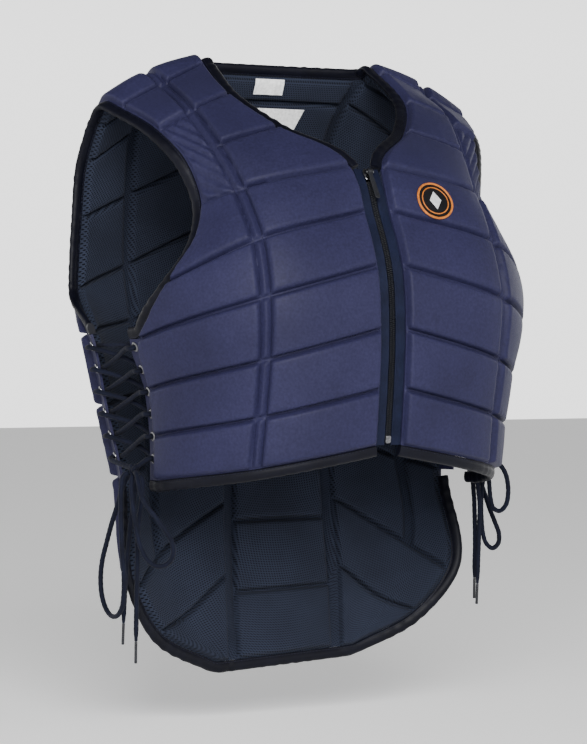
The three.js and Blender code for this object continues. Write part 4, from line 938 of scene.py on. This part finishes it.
def bind(name, stops, both, cad_node, flip=False):
    points, outs, ups = edge_line(stops)
    if both:
        points, outs, ups = [np.concatenate([v, v[-2::-1] * FLIP]) for v in (points, outs, ups)]
    points = soften(points, 3)
    along = np.gradient(points, axis=0)
    along /= np.linalg.norm(along, axis=1)[:, None]
    outs /= np.linalg.norm(outs, axis=1)[:, None]
    outs = soften(outs, 6)
    ups = soften(ups, 4)
    outs -= along * np.sum(outs * along, axis=1)[:, None]
    outs -= ups * np.sum(outs * ups, axis=1)[:, None]
    outs /= np.linalg.norm(outs, axis=1)[:, None]
    run = np.concatenate([[0], np.cumsum(np.linalg.norm(np.diff(points, axis=0), axis=1))])
    chance = np.random.default_rng(len(name))
    pucker = sum(np.sin(run * 2 * math.pi / chance.uniform(6, 15) + chance.uniform(0, 6)) for _ in range(4))
    swell = 1 + 0.035 * pucker
    verts = []
    uv = []
    for k in range(len(points)):
        out = BINDING_SECTION[:, 0] * (1 + 0.012 * pucker[k])
        up = BINDING_SECTION[:, 1] * swell[k]
        verts.extend(points[k] + out[:, None] * outs[k] + up[:, None] * ups[k])
        uv.extend((j * 1.7 * MM, run[k] * MM) for j in range(len(out)))
    sides = len(BINDING_SECTION)
    faces = []
    for k in range(len(points) - 1):
        for j in range(sides):
            n = (j + 1) % sides
            faces.append((k * sides + j, k * sides + n, (k + 1) * sides + n, (k + 1) * sides + j))
    faces.append(tuple(range(sides)))
    faces.append(tuple((len(points) - 1) * sides + j for j in range(sides)))
    turned = FLIP if flip else np.array((1, 1, 1))
    tape = new_object(name, to_metres(np.array(verts) * turned), faces, uv, binding_cloth, 70)
    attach(tape, "vest")
    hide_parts(cad_node)
    places = []
    at = np.arange(STITCH_PITCH, run[-1] - STITCH_PITCH, STITCH_PITCH)
    for height in (2.78, -2.78):
        seam = points + outs * 1.7 + ups * height
        for spot in at:
            here = [np.interp(spot, run, seam[:, k]) for k in range(3)] * turned
            way = [np.interp(spot, run, along[:, k]) for k in range(3)] * turned
            up = [np.interp(spot, run, ups[:, k] * np.sign(height)) for k in range(3)] * turned
            places.append((to_metres(here), way, up))
    return places


neck_stops = [
    (front, ROW_A, 0, (0, 1)), (front, 1, 0, (0, 1)), (front, SEAM_STEP, 0, (0, 1)),
    (back, SEAM_STEP, 2, (1, 0)), (back, SEAM_STEP, 0, (1, 0)),
]
armhole_stops = [
    (front, ROW_C, 3, (1, 0)), (front, ROW_C, 2.25, (1, -0.2)), (front, ROW_C - 0.15, 2, (0.2, -1)),
    (front, 1, 2, (0, -1)), (front, SEAM_STEP, 2, (0, -1)),
    (back, SEAM_STEP, 4, (0, -1)), (back, PIT - 0.15, 4, (0.2, -1)), (back, PIT, 4.25, (1, -0.2)),
    (back, PIT, 5, (1, 0)),
]
hem_stops = [(front, HEM, 0, (-1, 0)), (front, HEM, 3, (-1, 0))]
tail_stops = [
    (back, WAIST_2 + 0.08, 4, (0, -1)), (back, TAIL_1, 4, (0, -1)), (back, TAIL_1 + 1, 4, (-0.6, -1)),
    (back, TAIL_END, 4, (-1, -1)), (back, TAIL_END, 2, (-1, 0)), (back, TAIL_END, 0, (-1, 0)),
]
binding_stitches = bind("neck_tape", neck_stops, True, "neck_binding")
binding_stitches += bind("tail_tape", tail_stops, True, "tail_binding")
for side, flip in (("left", False), ("right", True)):
    binding_stitches += bind("armhole_tape_" + side, armhole_stops, False, "armhole_binding_" + side, flip)
    binding_stitches += bind("hem_tape_" + side, hem_stops, False, "hem_binding_" + side, flip)
binding_seams = repeat("binding_stitches", stitch_item, binding_stitches, thread_cloth)
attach(binding_seams, "vest")

# Quilting thread: two rows of stitches down each column seam, where the cover and the lining are
# sewn flat between the blocks, outside and inside.
SEAM_STITCH_SIDE = 4.5
seam_stitches = []
for panel, line, last in ((front, 1, HEM), (back, 3, TAIL_1)):
    track = panel.spots(np.linspace(0.1, last - 0.05, 260), line)[:, 0]
    facing = panel.normals(np.linspace(0.1, last - 0.05, 260), line)[:, 0]
    run = np.concatenate([[0], np.cumsum(np.linalg.norm(np.diff(track, axis=0), axis=1))])
    way = np.gradient(track, axis=0)
    way /= np.linalg.norm(way, axis=1)[:, None]
    across = np.cross(way, facing)
    for offset in (-SEAM_STITCH_SIDE, SEAM_STITCH_SIDE):
        for face in (1, -1):
            seam = track + across * offset + facing * face * (WEB_HALF + 0.12)
            for spot in np.arange(2, run[-1], 3.8):
                here = np.array([np.interp(spot, run, seam[:, k]) for k in range(3)])
                heading = np.array([np.interp(spot, run, way[:, k]) for k in range(3)])
                up = np.array([np.interp(spot, run, facing[:, k]) for k in range(3)]) * face
                seam_stitches.append((to_metres(here), heading, up))
                seam_stitches.append((to_metres(here * FLIP), heading * FLIP, up * FLIP))
quilting = repeat("quilting_stitches", stitch_item, seam_stitches, thread_cloth)
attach(quilting, "vest")

# Side lacing: six nickel eyelets are set in a flat flange on each edge, and one braided cord laces
# them criss-cross, from a bar inside the top pair down to the knot of the bow.
EYELET_LIFT = 1.8
LACE_OVER = WEB_HALF + EYELET_LIFT + 2.75
LACE_UNDER = -3.15
LACE_REACH = 8.5
LACE_CROSS = 2.45
KNOT = np.array((186, -36, -382.0))
KNOT_SIZE = 1.42
EYELET_PROFILE = (
    (4.8, 0), (4.75, 0.5), (3.95, 1.2), (3.1, 1.3), (2.65, 0.75), (2.6, 0), (2.6, -1.3), (2.65, -2.6),
    (3.1, -3.0), (4.2, -2.95), (4.4, -2.55), (2.95, -2.5), (2.85, -1.3), (2.85, 0),
)
nickel, nickel_tree, nickel_shader = new_material("bright_nickel", 0.24, Metallic=1.0)
nickel_tree.links.new(shaded(nickel_tree, (0.17, 0.17, 0.18, 1), 350.0, 0.7, 1.1), nickel_shader.inputs["Base Color"])
nickel_grain = node(nickel_tree, "ShaderNodeTexNoise", {"Scale": 900.0, "Detail": 3.0})
nickel_tree.links.new(nickel_tree.nodes.new("ShaderNodeTexCoord").outputs["Object"], nickel_grain.inputs["Vector"])
bump(nickel_tree, nickel_shader, nickel_grain.outputs[0], 0.12, 0.0001)


eyelet_item = lathe_item("eyelet_item", EYELET_PROFILE, 20)
for side, turned in (("left", np.array((1, 1, 1))), ("right", FLIP)):
    for edge, eyelets in (("front", front_eyelets), ("back", back_eyelets)):
        places = [
            (to_metres((point + normal * (WEB_HALF + 0.05)) * turned), gap * turned, normal * turned)
            for point, normal, gap in eyelets
        ]
        rings = repeat("eyelets_%s_%s" % (edge, side), eyelet_item, places, nickel)
        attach(rings, "vest")
        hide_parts(*["eyelet_%s_%d_%s" % (edge, k + 1, side) for k in range(EYELET_COUNT)])


def lace_spot(eyelet, reach, height):
    point, normal, gap = eyelet
    return point + gap * reach + normal * height


def strand(first, lift):
    sides = (front_eyelets, back_eyelets)
    points = []
    for k in range(EYELET_COUNT):
        eyelet = sides[(first + k) % 2][k]
        if k:
            four = [places[n][0] for places in sides for n in (k - 1, k)]
            out = sides[0][k - 1][1] + sides[1][k - 1][1]
            cross = lift if k % 2 else -lift
            points.append(np.mean(four, axis=0) + out / np.linalg.norm(out) * cross)
            points.append(lace_spot(eyelet, LACE_REACH, LACE_UNDER))
        points.append(lace_spot(eyelet, 0.4, LACE_UNDER))
        points.append(lace_spot(eyelet, 0.6, LACE_OVER))
        if k < EYELET_COUNT - 1:
            points.append(lace_spot(eyelet, LACE_REACH, LACE_OVER - 0.3))
    return points


lace_bar = [lace_spot(front_eyelets[0], LACE_REACH, LACE_UNDER), lace_spot(back_eyelets[0], LACE_REACH, LACE_UNDER)]
lace_route = [KNOT, *strand(0, LACE_CROSS)[::-1], *lace_bar, *strand(1, -LACE_CROSS), KNOT]
knot_turn = np.linspace(0, 2 * math.pi, 70)
knot_loop = np.stack([
    -np.sin(3 * knot_turn) * 1.2,
    np.sin(knot_turn) + 2 * np.sin(2 * knot_turn),
    np.cos(knot_turn) - 2 * np.cos(2 * knot_turn),
], axis=1) * KNOT_SIZE
for side, turned in (("left", np.array((1, 1, 1))), ("right", FLIP)):
    line, _ = through(to_metres(np.array(lace_route) * turned), FREE_STEP)
    verts, faces, uv = sweep_tube(line, LACE_RADIUS, 14, BRAID_RELIEF)
    knot_verts, knot_faces, knot_uv = sweep_tube(to_metres((KNOT + knot_loop) * turned), LACE_RADIUS, 14, BRAID_RELIEF)
    count = len(verts)
    faces = faces + [tuple(f + count for f in face) for face in knot_faces]
    lace = new_object(
        "lacing_cord_" + side, np.vstack([verts, knot_verts]), faces, np.vstack([uv, knot_uv]), lace_cloth
    )
    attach(lace, "vest")
    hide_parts("lacing_" + side)

# Front zip: a coil zip on a woven tape sewn between the two fronts. The slider stands at the top
# with its pull hanging on a cross pin, and a metal stop closes the bottom.
ZIP_HALF_GAP = 13
zip_rows = np.linspace(ROW_A, HEM, 260)
zip_points = front.spots(zip_rows, 0)[:, 0] * (0, 1, 1)
zip_normals = front.normals(zip_rows, 0)[:, 0] * (0, 1, 1)
zip_normals /= np.linalg.norm(zip_normals, axis=1)[:, None]
zip_run = np.concatenate([[0], np.cumsum(np.linalg.norm(np.diff(zip_points, axis=0), axis=1))])
tape_cloth = woven(
    new_material("zip_tape_weave", 0.62, Specular_IOR_Level=0.1), (0.0055, 0.0075, 0.021, 1), 0.0009, 0.0018, 0.6, 0.0003, 60.0, 0.8, 1.2
)
coil_plastic = woven(
    new_material("coil_plastic", 0.38, Specular_IOR_Level=0.25), (0.006, 0.0065, 0.009, 1), 0.002, 0.002, 0.1, 0.0001, 400.0, 0.7, 1.4
)
TAPE_SECTION = ((3.3, -0.5), (3.3, 0.5), (3.9, 0.95), (5.2, 0.7), (8.5, 0.8), (12.6, 0.8), (12.6, -0.8), (5.2, -0.7))


def zip_at(distance, x, out):
    spot = np.array([np.interp(distance, zip_run, zip_points[:, k]) for k in range(3)])
    normal = np.array([np.interp(distance, zip_run, zip_normals[:, k]) for k in range(3)])
    return spot + normal * out + np.array((x, 0, 0)), normal


ZIP_LENGTH = zip_run[-1]
TOOTH_PITCH = 1.75
tooth_item = pellet_item("tooth_item", 3.3, 1.25, 2.7, 8, 5, 0.7)
for side, sign in (("left", 1), ("right", -1)):
    verts = []
    uv = []
    stations = np.linspace(0, ZIP_LENGTH, 120)
    for distance in stations:
        for x, out in TAPE_SECTION:
            ripple = 0.15 * math.sin(distance / 5.1 + x)
            verts.append(zip_at(distance, x * sign, out + ripple)[0])
            uv.append((x * MM, distance * MM))
    sides = len(TAPE_SECTION)
    faces = [
        (k * sides + j, k * sides + (j + 1) % sides, (k + 1) * sides + (j + 1) % sides, (k + 1) * sides + j)
        for k in range(len(stations) - 1) for j in range(sides)
    ]
    faces += [tuple(range(sides)), tuple((len(stations) - 1) * sides + j for j in range(sides))]
    tape = new_object("zip_band_" + side, to_metres(verts), faces, uv, tape_cloth, 40)
    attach(tape, "vest")
    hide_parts("zip_tape_" + side)
    places = []
    first = 14.5 + (0 if sign > 0 else TOOTH_PITCH / 2)
    for distance in np.arange(first, ZIP_LENGTH - 9, TOOTH_PITCH):
        spot, normal = zip_at(distance, 1.35 * sign, 0)
        places.append((to_metres(spot), (sign, 0, 0), normal))
    teeth = repeat("zip_coil_" + side, tooth_item, places, coil_plastic)
    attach(teeth, "vest")
    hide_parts("zip_teeth_" + side)
# Zip slider: a die-cast slider in dark nickel, two shaped plates on a wedge post with a pair of
# lugs that carry the pull's cross pin. It grips the chain at the top of the zip.
SLIDER_ROW = ROW_A + 0.05
slider_spot = front.spots(SLIDER_ROW, 0)[0, 0] * (0, 1, 1)
slider_down = front.spots(SLIDER_ROW + 0.5, 0)[0, 0] * (0, 1, 1) - slider_spot
slider_down /= np.linalg.norm(slider_down)
slider_out = np.array((0, slider_down[2], -slider_down[1]))
SLIDER_AXES = (slider_spot, slider_out, slider_down)
PIN_OUT = 6.2
PIN_DOWN = 5
gunmetal, gunmetal_tree, gunmetal_shader = new_material("dark_nickel", 0.28, Metallic=1.0)
worn = shaded(gunmetal_tree, (0.16, 0.16, 0.17, 1), 500.0, 0.6, 1.5)
gunmetal_tree.links.new(worn, gunmetal_shader.inputs["Base Color"])
gunmetal_grain = node(gunmetal_tree, "ShaderNodeTexNoise", {"Scale": 1200.0, "Detail": 3.0})
gunmetal_tree.links.new(gunmetal_tree.nodes.new("ShaderNodeTexCoord").outputs["Object"], gunmetal_grain.inputs["Vector"])
bump(gunmetal_tree, gunmetal_shader, gunmetal_grain.outputs[0], 0.15, 0.0001)


def on_axes(axes, points):
    """(out, down, across) in millimetres on a fitting's own axes, to metres."""
    origin, out, down = axes
    points = np.asarray(points, float)
    across = np.array((1, 0, 0))
    return to_metres(origin + points[:, :1] * out + points[:, 1:2] * down + points[:, 2:] * across)


def plate(outline, low, high, bevel, order=(0, 1, 2)):
    """A flat shape between two levels with bevelled rims; order puts level and outline on axes."""
    outline = np.array(outline, float)
    middle = outline.mean(axis=0)
    reach = np.linalg.norm(outline - middle, axis=1).min()
    rings = []
    for level, inset in ((low, bevel), (low + bevel, 0), (high - bevel, 0), (high, bevel)):
        ring = middle + (outline - middle) * (1 - inset / reach)
        rings.append(np.column_stack([np.full(len(ring), level), ring])[:, list(order)])
    return lofted(rings)


def lofted(rings):
    """Closed rings of like count joined one after the other, with both ends capped."""
    count = len(rings[0])
    faces = [
        (k * count + j, k * count + (j + 1) % count, (k + 1) * count + (j + 1) % count, (k + 1) * count + j)
        for k in range(len(rings) - 1) for j in range(count)
    ]
    faces += [tuple(range(count)), tuple((len(rings) - 1) * count + j for j in range(count))]
    return np.vstack(rings), faces


def fitting(name, axes, shapes, material, body, cad_node):
    """One piece from several closed shapes given on a fitting's axes."""
    verts = []
    faces = []
    for points, shape_faces in shapes:
        faces.extend(tuple(f + len(verts) for f in face) for face in shape_faces)
        verts.extend(on_axes(axes, points).tolist())
    piece = new_object(name, verts, faces, None, material, 35)
    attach(piece, body)
    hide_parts(cad_node)
    return piece


def rod_across(radii, sides=20):
    """A turned rod across the zip, on the cross pin's line, from (across, radius) steps."""
    angles = np.arange(sides) * 2 * math.pi / sides
    return lofted([
        np.column_stack([PIN_OUT + r * np.cos(angles), PIN_DOWN + r * np.sin(angles), np.full(sides, x)])
        for x, r in radii
    ])


plate_half = ((0, 2.0), (0.35, 3.3), (1.3, 4.4), (3, 4.95), (6, 4.9), (9, 4.4), (11.2, 3.9), (11.8, 3.3), (12, 2.4))
plate_outline = list(plate_half) + [(d, -x) for d, x in plate_half[::-1]]
lug_outline = ((3.1, 2.7), (5.4, 2.95), (6.8, 3.2), (7.4, 4.0), (7.6, 5.0), (7.4, 6.0), (6.8, 6.8), (5.4, 7.05), (3.1, 7.3))
post_outline = ((0.1, -1.2), (0.1, 1.2), (1.4, 1.4), (2.4, 0.9), (3.0, 0), (2.4, -0.9), (1.4, -1.4))
slider_shapes = [
    plate(plate_outline, 1.7, 3.3, 0.45), plate(plate_outline, -3.3, -1.7, 0.45),
    plate(post_outline, -1.9, 1.9, 0.1),
    plate(lug_outline, 2.8, 3.8, 0.25, (1, 2, 0)), plate(lug_outline, -3.8, -2.8, 0.25, (1, 2, 0)),
    rod_across(((-4.1, 0.7), (-3.95, 1.15), (-3.7, 1.15), (-3.65, 0.8), (3.65, 0.8), (3.7, 1.15), (3.95, 1.15), (4.1, 0.7))),
]
fitting("slider_body", SLIDER_AXES, slider_shapes, gunmetal, "vest", "zip_slider")

# Pull tab: moulded black rubber on a barrel that turns on the cross pin, with a raised rim and
# grip ribs so that a gloved hand can find it. It hangs down the closed zip.
rubber, rubber_tree, rubber_shader = new_material("pull_rubber", 0.55, Specular_IOR_Level=0.3)
rubber_tree.links.new(shaded(rubber_tree, (0.006, 0.0065, 0.009, 1), 260.0, 0.7, 1.5), rubber_shader.inputs["Base Color"])
rubber_grain = node(rubber_tree, "ShaderNodeTexNoise", {"Scale": 1500.0, "Detail": 4.0})
rubber_tree.links.new(rubber_tree.nodes.new("ShaderNodeTexCoord").outputs["Object"], rubber_grain.inputs["Vector"])
bump(rubber_tree, rubber_shader, rubber_grain.outputs[0], 0.3, 0.0001)
TAB_END = 29.9
RIB_PITCH = 1.9
tab_rings = []
turn = np.linspace(0, 2 * math.pi, 25)[:-1]
for run in np.concatenate([np.linspace(1.6, 29, 90), np.linspace(29.1, TAB_END, 8)]):
    waist = 2.5 - 0.45 * math.exp(-((run - 5.5) / 2.2) ** 2)
    rounding = math.sqrt(max(1 - (max(run - 27.6, 0) / 2.35) ** 2, 0.02))
    half_wide = waist * rounding
    ribbed = 10 < run < 26
    thick = 0.56 + 0.24 * abs(math.sin(run * math.pi / RIB_PITCH)) if ribbed else 0.78
    across = np.sign(np.cos(turn)) * np.abs(np.cos(turn)) ** 0.7 * half_wide
    rim = np.where(np.abs(across) > half_wide - 0.75, 0.8, thick) * min(rounding + 0.2, 1)
    out = np.sign(np.sin(turn)) * np.abs(np.sin(turn)) ** 0.55 * rim
    tab_rings.append(np.column_stack([PIN_OUT + out, np.full(24, PIN_DOWN + run), across]))
barrel_profile = ((1.1, -2.5), (2.25, -2.5), (2.6, -2.15), (2.6, 2.15), (2.25, 2.5), (1.1, 2.5))
BARREL_SIDES = 24
barrel_verts = [
    (PIN_OUT + r * math.cos(2 * math.pi * k / BARREL_SIDES), PIN_DOWN + r * math.sin(2 * math.pi * k / BARREL_SIDES), x)
    for k in range(BARREL_SIDES) for r, x in barrel_profile
]
sides = len(barrel_profile)
barrel_faces = [
    (k * sides + j, (k + 1) % BARREL_SIDES * sides + j, (k + 1) % BARREL_SIDES * sides + (j + 1) % sides, k * sides + (j + 1) % sides)
    for k in range(BARREL_SIDES) for j in range(sides)
]
pull_shapes = [lofted(tab_rings), (np.array(barrel_verts), barrel_faces)]
fitting("pull_tab", SLIDER_AXES, pull_shapes, rubber, "pull", "zip_pull")

# Bottom stop: a bent metal clip closed over both rows of teeth at the end of the chain.
stop_spot = front.spots(HEM - 0.17, 0)[0, 0] * (0, 1, 1)
stop_down = front.spots(HEM, 0)[0, 0] * (0, 1, 1) - stop_spot
stop_down /= np.linalg.norm(stop_down)
STOP_AXES = (stop_spot, np.array((0, stop_down[2], -stop_down[1])), stop_down)
stop_half = ((0, 1.6), (0.35, 2.35), (1.1, 2.7), (5.9, 2.7), (6.65, 2.35), (7, 1.6))
stop_outline = list(stop_half) + [(d, -x) for d, x in stop_half[::-1]]
ridge_outline = ((1.2, -1.9), (1.2, 1.9), (1.9, 1.9), (1.9, -1.9))
stop_shapes = [plate(stop_outline, -1.9, 1.75, 0.4)]
for shift in (0, 1.95, 3.9):
    stop_shapes.append(plate([(d + shift, x) for d, x in ridge_outline], 1.6, 1.95, 0.12))
fitting("stop_clip", STOP_AXES, stop_shapes, gunmetal, "vest", "zip_bottom_stop")

# Labels: two plain white woven labels inside the neck, bare of any lettering. The small one is
# sewn in under the neck binding, and the larger tapered one hangs from a seam below it.
LABEL_NEAR = 10.3
LABEL_THICK = 0.45
label_cloth = woven(
    new_material("label_weave", 0.6, Specular_IOR_Level=0.2, Sheen_Weight=0.1), (0.8, 0.8, 0.8, 1), 0.0005, 0.0005,
    0.35, 0.00012, 90.0, 0.9, 1.05,
)
label_rows = np.linspace(0.02, PIT, 300)


def cloth_label(name, middle, depth, top, bottom, height, wave, cad_node, phase, sewn_drop):
    across = np.linspace(-1, 1, 29)
    down = np.linspace(0, 1, 19)
    depths = -back.spots(label_rows, 0.2)[:, 0, 2]
    layers = [np.zeros((len(down), len(across), 3)) for _ in range(2)]
    for k, v in enumerate(down):
        row = np.interp(depth + v * height, depths, label_rows)
        x = middle + across * (top + (bottom - top) * v) / 2
        stations = x / back.spots(row, 1)[0, 0, 0]
        turned = np.where(stations < 0, -1, 1)[:, None] * (1, 0, 0) + (0, 1, 1)
        middle_line = back.spots(row, np.abs(stations))[0] * turned
        facing = back.normals(row, np.abs(stations))[0] * turned
        curl = wave * v * (0.5 + 0.5 * np.sin(across * 4 + phase)) + 0.1 * np.sin(across * 9 + v * 5 + phase)
        rise = LABEL_NEAR - sewn_drop * max(1 - v / 0.4, 0) ** 2 + curl
        for level, layer in zip((0, LABEL_THICK), layers):
            layer[k] = middle_line - facing * (rise + level)[:, None]
    outer = np.linalg.norm(layers[1] - layers[0], axis=-1)
    ways = (layers[1] - layers[0]) / outer[..., None]
    cells = np.ones((len(down) - 1, len(across) - 1), bool)
    verts, faces, uv = slab(layers[0], ways, outer, outer * 0, cells)
    label = new_object(name, verts, faces, uv, label_cloth, 50)
    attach(label, "vest")
    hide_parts(cad_node)
    seam = layers[1][0] + ways[0] * 0.15 - np.array((0, 0, 0.9))
    heading = np.array((1.0, 0, 0))
    return [(to_metres(seam[j]), heading, ways[0, j]) for j in range(1, len(across) - 1, 2)]


label_stitches = cloth_label("label_small", -11, 8, 32, 32, 14, 0.35, "neck_label", 0.4, 1.6)
label_stitches += cloth_label("label_large", 2, 35, 62, 34, 36.5, 0.3, "hang_label", 2.0, 0)
label_seams = repeat("label_stitches", stitch_item, label_stitches, label_cloth, 0.7)
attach(label_seams, "vest")

# Chest patch: a round embroidered badge of black twill with a stitched orange rim and a plain
# white diamond, sewn to the wearer's left chest block and following its curve.
PATCH_RADIUS = 19
PATCH_STATION = 54 / 131
PATCH_DEPTH = 143
chest_rows = np.linspace(ROW_A, ROW_C, 300)
patch_row = np.interp(PATCH_DEPTH, -front.spots(chest_rows, 0.54)[:, 0, 2], chest_rows)
patch_spot = front.raised(patch_row, PATCH_STATION, BLOCK_HALF)
patch_out = front.normals(patch_row, PATCH_STATION)[0, 0]
patch_side = np.array((1.0, 0, 0)) - patch_out * patch_out[0]
patch_side /= np.linalg.norm(patch_side)
patch_up = np.cross(patch_out, patch_side)
near_rows = np.linspace(patch_row - 0.3, patch_row + 0.3, 9)
near_lines = np.linspace(PATCH_STATION - 0.15, PATCH_STATION + 0.15, 9)
near = front.spots(near_rows, near_lines) + front.normals(near_rows, near_lines) * BLOCK_HALF - patch_spot
near = near.reshape(-1, 3)
flat = np.stack([near @ patch_side, near @ patch_up], axis=1)
terms = np.column_stack([np.ones(len(flat)), flat, flat[:, 0] ** 2, flat[:, 0] * flat[:, 1], flat[:, 1] ** 2])
patch_fit = np.linalg.lstsq(terms, near @ patch_out, rcond=None)[0]
PATCH_LIFT = 1.25


def on_patch(points):
    """(side, up, height) in millimetres on the patch, to metres, bent to the chest block."""
    x, y, height = np.asarray(points, float).T
    bend = np.column_stack([np.ones(len(x)), x, y, x * x, x * y, y * y]) @ patch_fit
    level = np.maximum(bend, -1.1) + PATCH_LIFT + height
    return to_metres(patch_spot + x[:, None] * patch_side + y[:, None] * patch_up + level[:, None] * patch_out)


def patch_piece(name, rings, material, closed):
    verts = on_patch(np.vstack(rings))
    count = len(rings[0])
    faces = [
        (k * count + j, k * count + (j + 1) % count, (k + 1) % len(rings) * count + (j + 1) % count, (k + 1) % len(rings) * count + j)
        for k in range(len(rings) if closed else len(rings) - 1) for j in range(count)
    ]
    if not closed:
        faces += [tuple(range(count)), tuple((len(rings) - 1) * count + j for j in range(count))]
    piece = new_object(name, verts, faces, np.vstack(rings)[:, :2] * MM, material, 60)
    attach(piece, "vest")
    return piece


twill = woven(
    new_material("patch_twill", 0.7, Specular_IOR_Level=0.12), (0.0035, 0.0035, 0.0045, 1), 0.0009, 0.0009,
    0.5, 0.0002, 120.0, 0.7, 1.4,
)
orange_thread = woven(
    new_material("orange_thread", 0.5, Specular_IOR_Level=0.3), (0.42, 0.12, 0.012, 1), 0.0007, 0.0007,
    0.4, 0.0002, 200.0, 0.75, 1.25,
)
white_thread = woven(
    new_material("white_thread", 0.5, Specular_IOR_Level=0.3), (0.55, 0.56, 0.57, 1), 0.0006, 0.0006,
    0.4, 0.0002, 200.0, 0.85, 1.1,
)
turn = np.linspace(0, 2 * math.pi, 193)[:-1]
ground_rings = [
    np.column_stack([r * np.cos(turn), r * np.sin(turn), np.full(192, h)])
    for r, h in ((3, -0.5), (10, -0.5), (18.6, -0.5), (18.6, 0.35), (14, 0.4), (9, 0.4), (4, 0.4), (0.8, 0.4))
]
ground = patch_piece("patch_ground", ground_rings, twill, False)
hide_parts("chest_patch")
satin_stitch = 1 + 0.1 * np.abs(np.sin(turn * 48))
for name, radius, width, height, cloth in (("patch_rim", 17.9, 1.15, 1.0, orange_thread), ("patch_ring", 13.6, 0.6, 0.75, orange_thread)):
    rings = []
    for angle in np.linspace(0, 2 * math.pi, 11)[:-1]:
        reach = radius + width * math.cos(angle)
        rise = (0.15 + height * max(math.sin(angle), -0.35)) * satin_stitch
        rings.append(np.column_stack([reach * np.cos(turn), reach * np.sin(turn), rise]))
    patch_piece(name, rings, cloth, True)
diamond_turn = np.abs(np.cos(turn)) + np.abs(np.sin(turn))
diamond_rings = []
for share, h in ((1.0, 0.3), (1.0, 0.75), (0.93, 0.95), (0.6, 1.0), (0.3, 1.0), (0.05, 1.0)):
    x = 6.2 * share * np.cos(turn) / diamond_turn
    y = 9.2 * share * np.sin(turn) / diamond_turn
    diamond_rings.append(np.column_stack([x, y, h + 0.06 * np.sin(y * 9)]))
patch_piece("patch_diamond", diamond_rings, white_thread, False)

for item in (stitch_item, eyelet_item, tooth_item):
    bpy.data.objects.remove(item)

# Plain pale floor and soft studio light; neither is part of the vest.
FLOOR_HEIGHT = -0.60
floor_material, floor_tree, floor_shader = new_material(
    "studio_floor", 0.9, Specular_IOR_Level=0.0, Base_Color=(0.93, 0.93, 0.93, 1),
    Emission_Color=(1, 1, 1, 1), Emission_Strength=0.3,
)
floor_mesh = bpy.data.meshes.new("floor")
FLOOR_SIZE = 8.0
corners = [(-1, -1), (1, -1), (1, 1), (-1, 1)]
floor_mesh.from_pydata([(x * FLOOR_SIZE, y * FLOOR_SIZE, FLOOR_HEIGHT) for x, y in corners], [], [(0, 1, 2, 3)])
floor_mesh.materials.append(floor_material)
floor = bpy.data.objects.new("floor", floor_mesh)
bpy.context.scene.collection.objects.link(floor)

world = bpy.data.worlds.new("studio")
bpy.context.scene.world = world
world.use_nodes = True
world.node_tree.nodes["Background"].inputs[0].default_value = (1, 1, 1, 1)
# The light falls off towards the zenith, so that the shoulders stay darker than the chest.
world_way = world.node_tree.nodes.new("ShaderNodeTexCoord").outputs["Generated"]
world_height = node(world.node_tree, "ShaderNodeSeparateXYZ", {0: world_way}).outputs[2]
world_glow = node(world.node_tree, "ShaderNodeMapRange", {
    "Value": world_height, "From Min": 0.10, "From Max": 0.60, "To Min": 2.2, "To Max": 0.10,
})
world.node_tree.links.new(world_glow.outputs[0], world.node_tree.nodes["Background"].inputs[1])
# name, place, size across, power
LAMPS = (
    ("key", (-1.0, -2.5, 0.9), 1.3, 115),
    ("fill", (-2.2, -1.4, 0.3), 1.4, 5),
)
for lamp_name, place, size, power in LAMPS:
    lamp_data = bpy.data.lights.new(lamp_name, "AREA")
    lamp_data.size = size
    lamp_data.energy = power
    lamp = bpy.data.objects.new(lamp_name, lamp_data)
    lamp.location = place
    lamp.rotation_euler = (CAMERA_AIM - Vector(place)).to_track_quat("-Z", "Y").to_euler()
    bpy.context.scene.collection.objects.link(lamp)
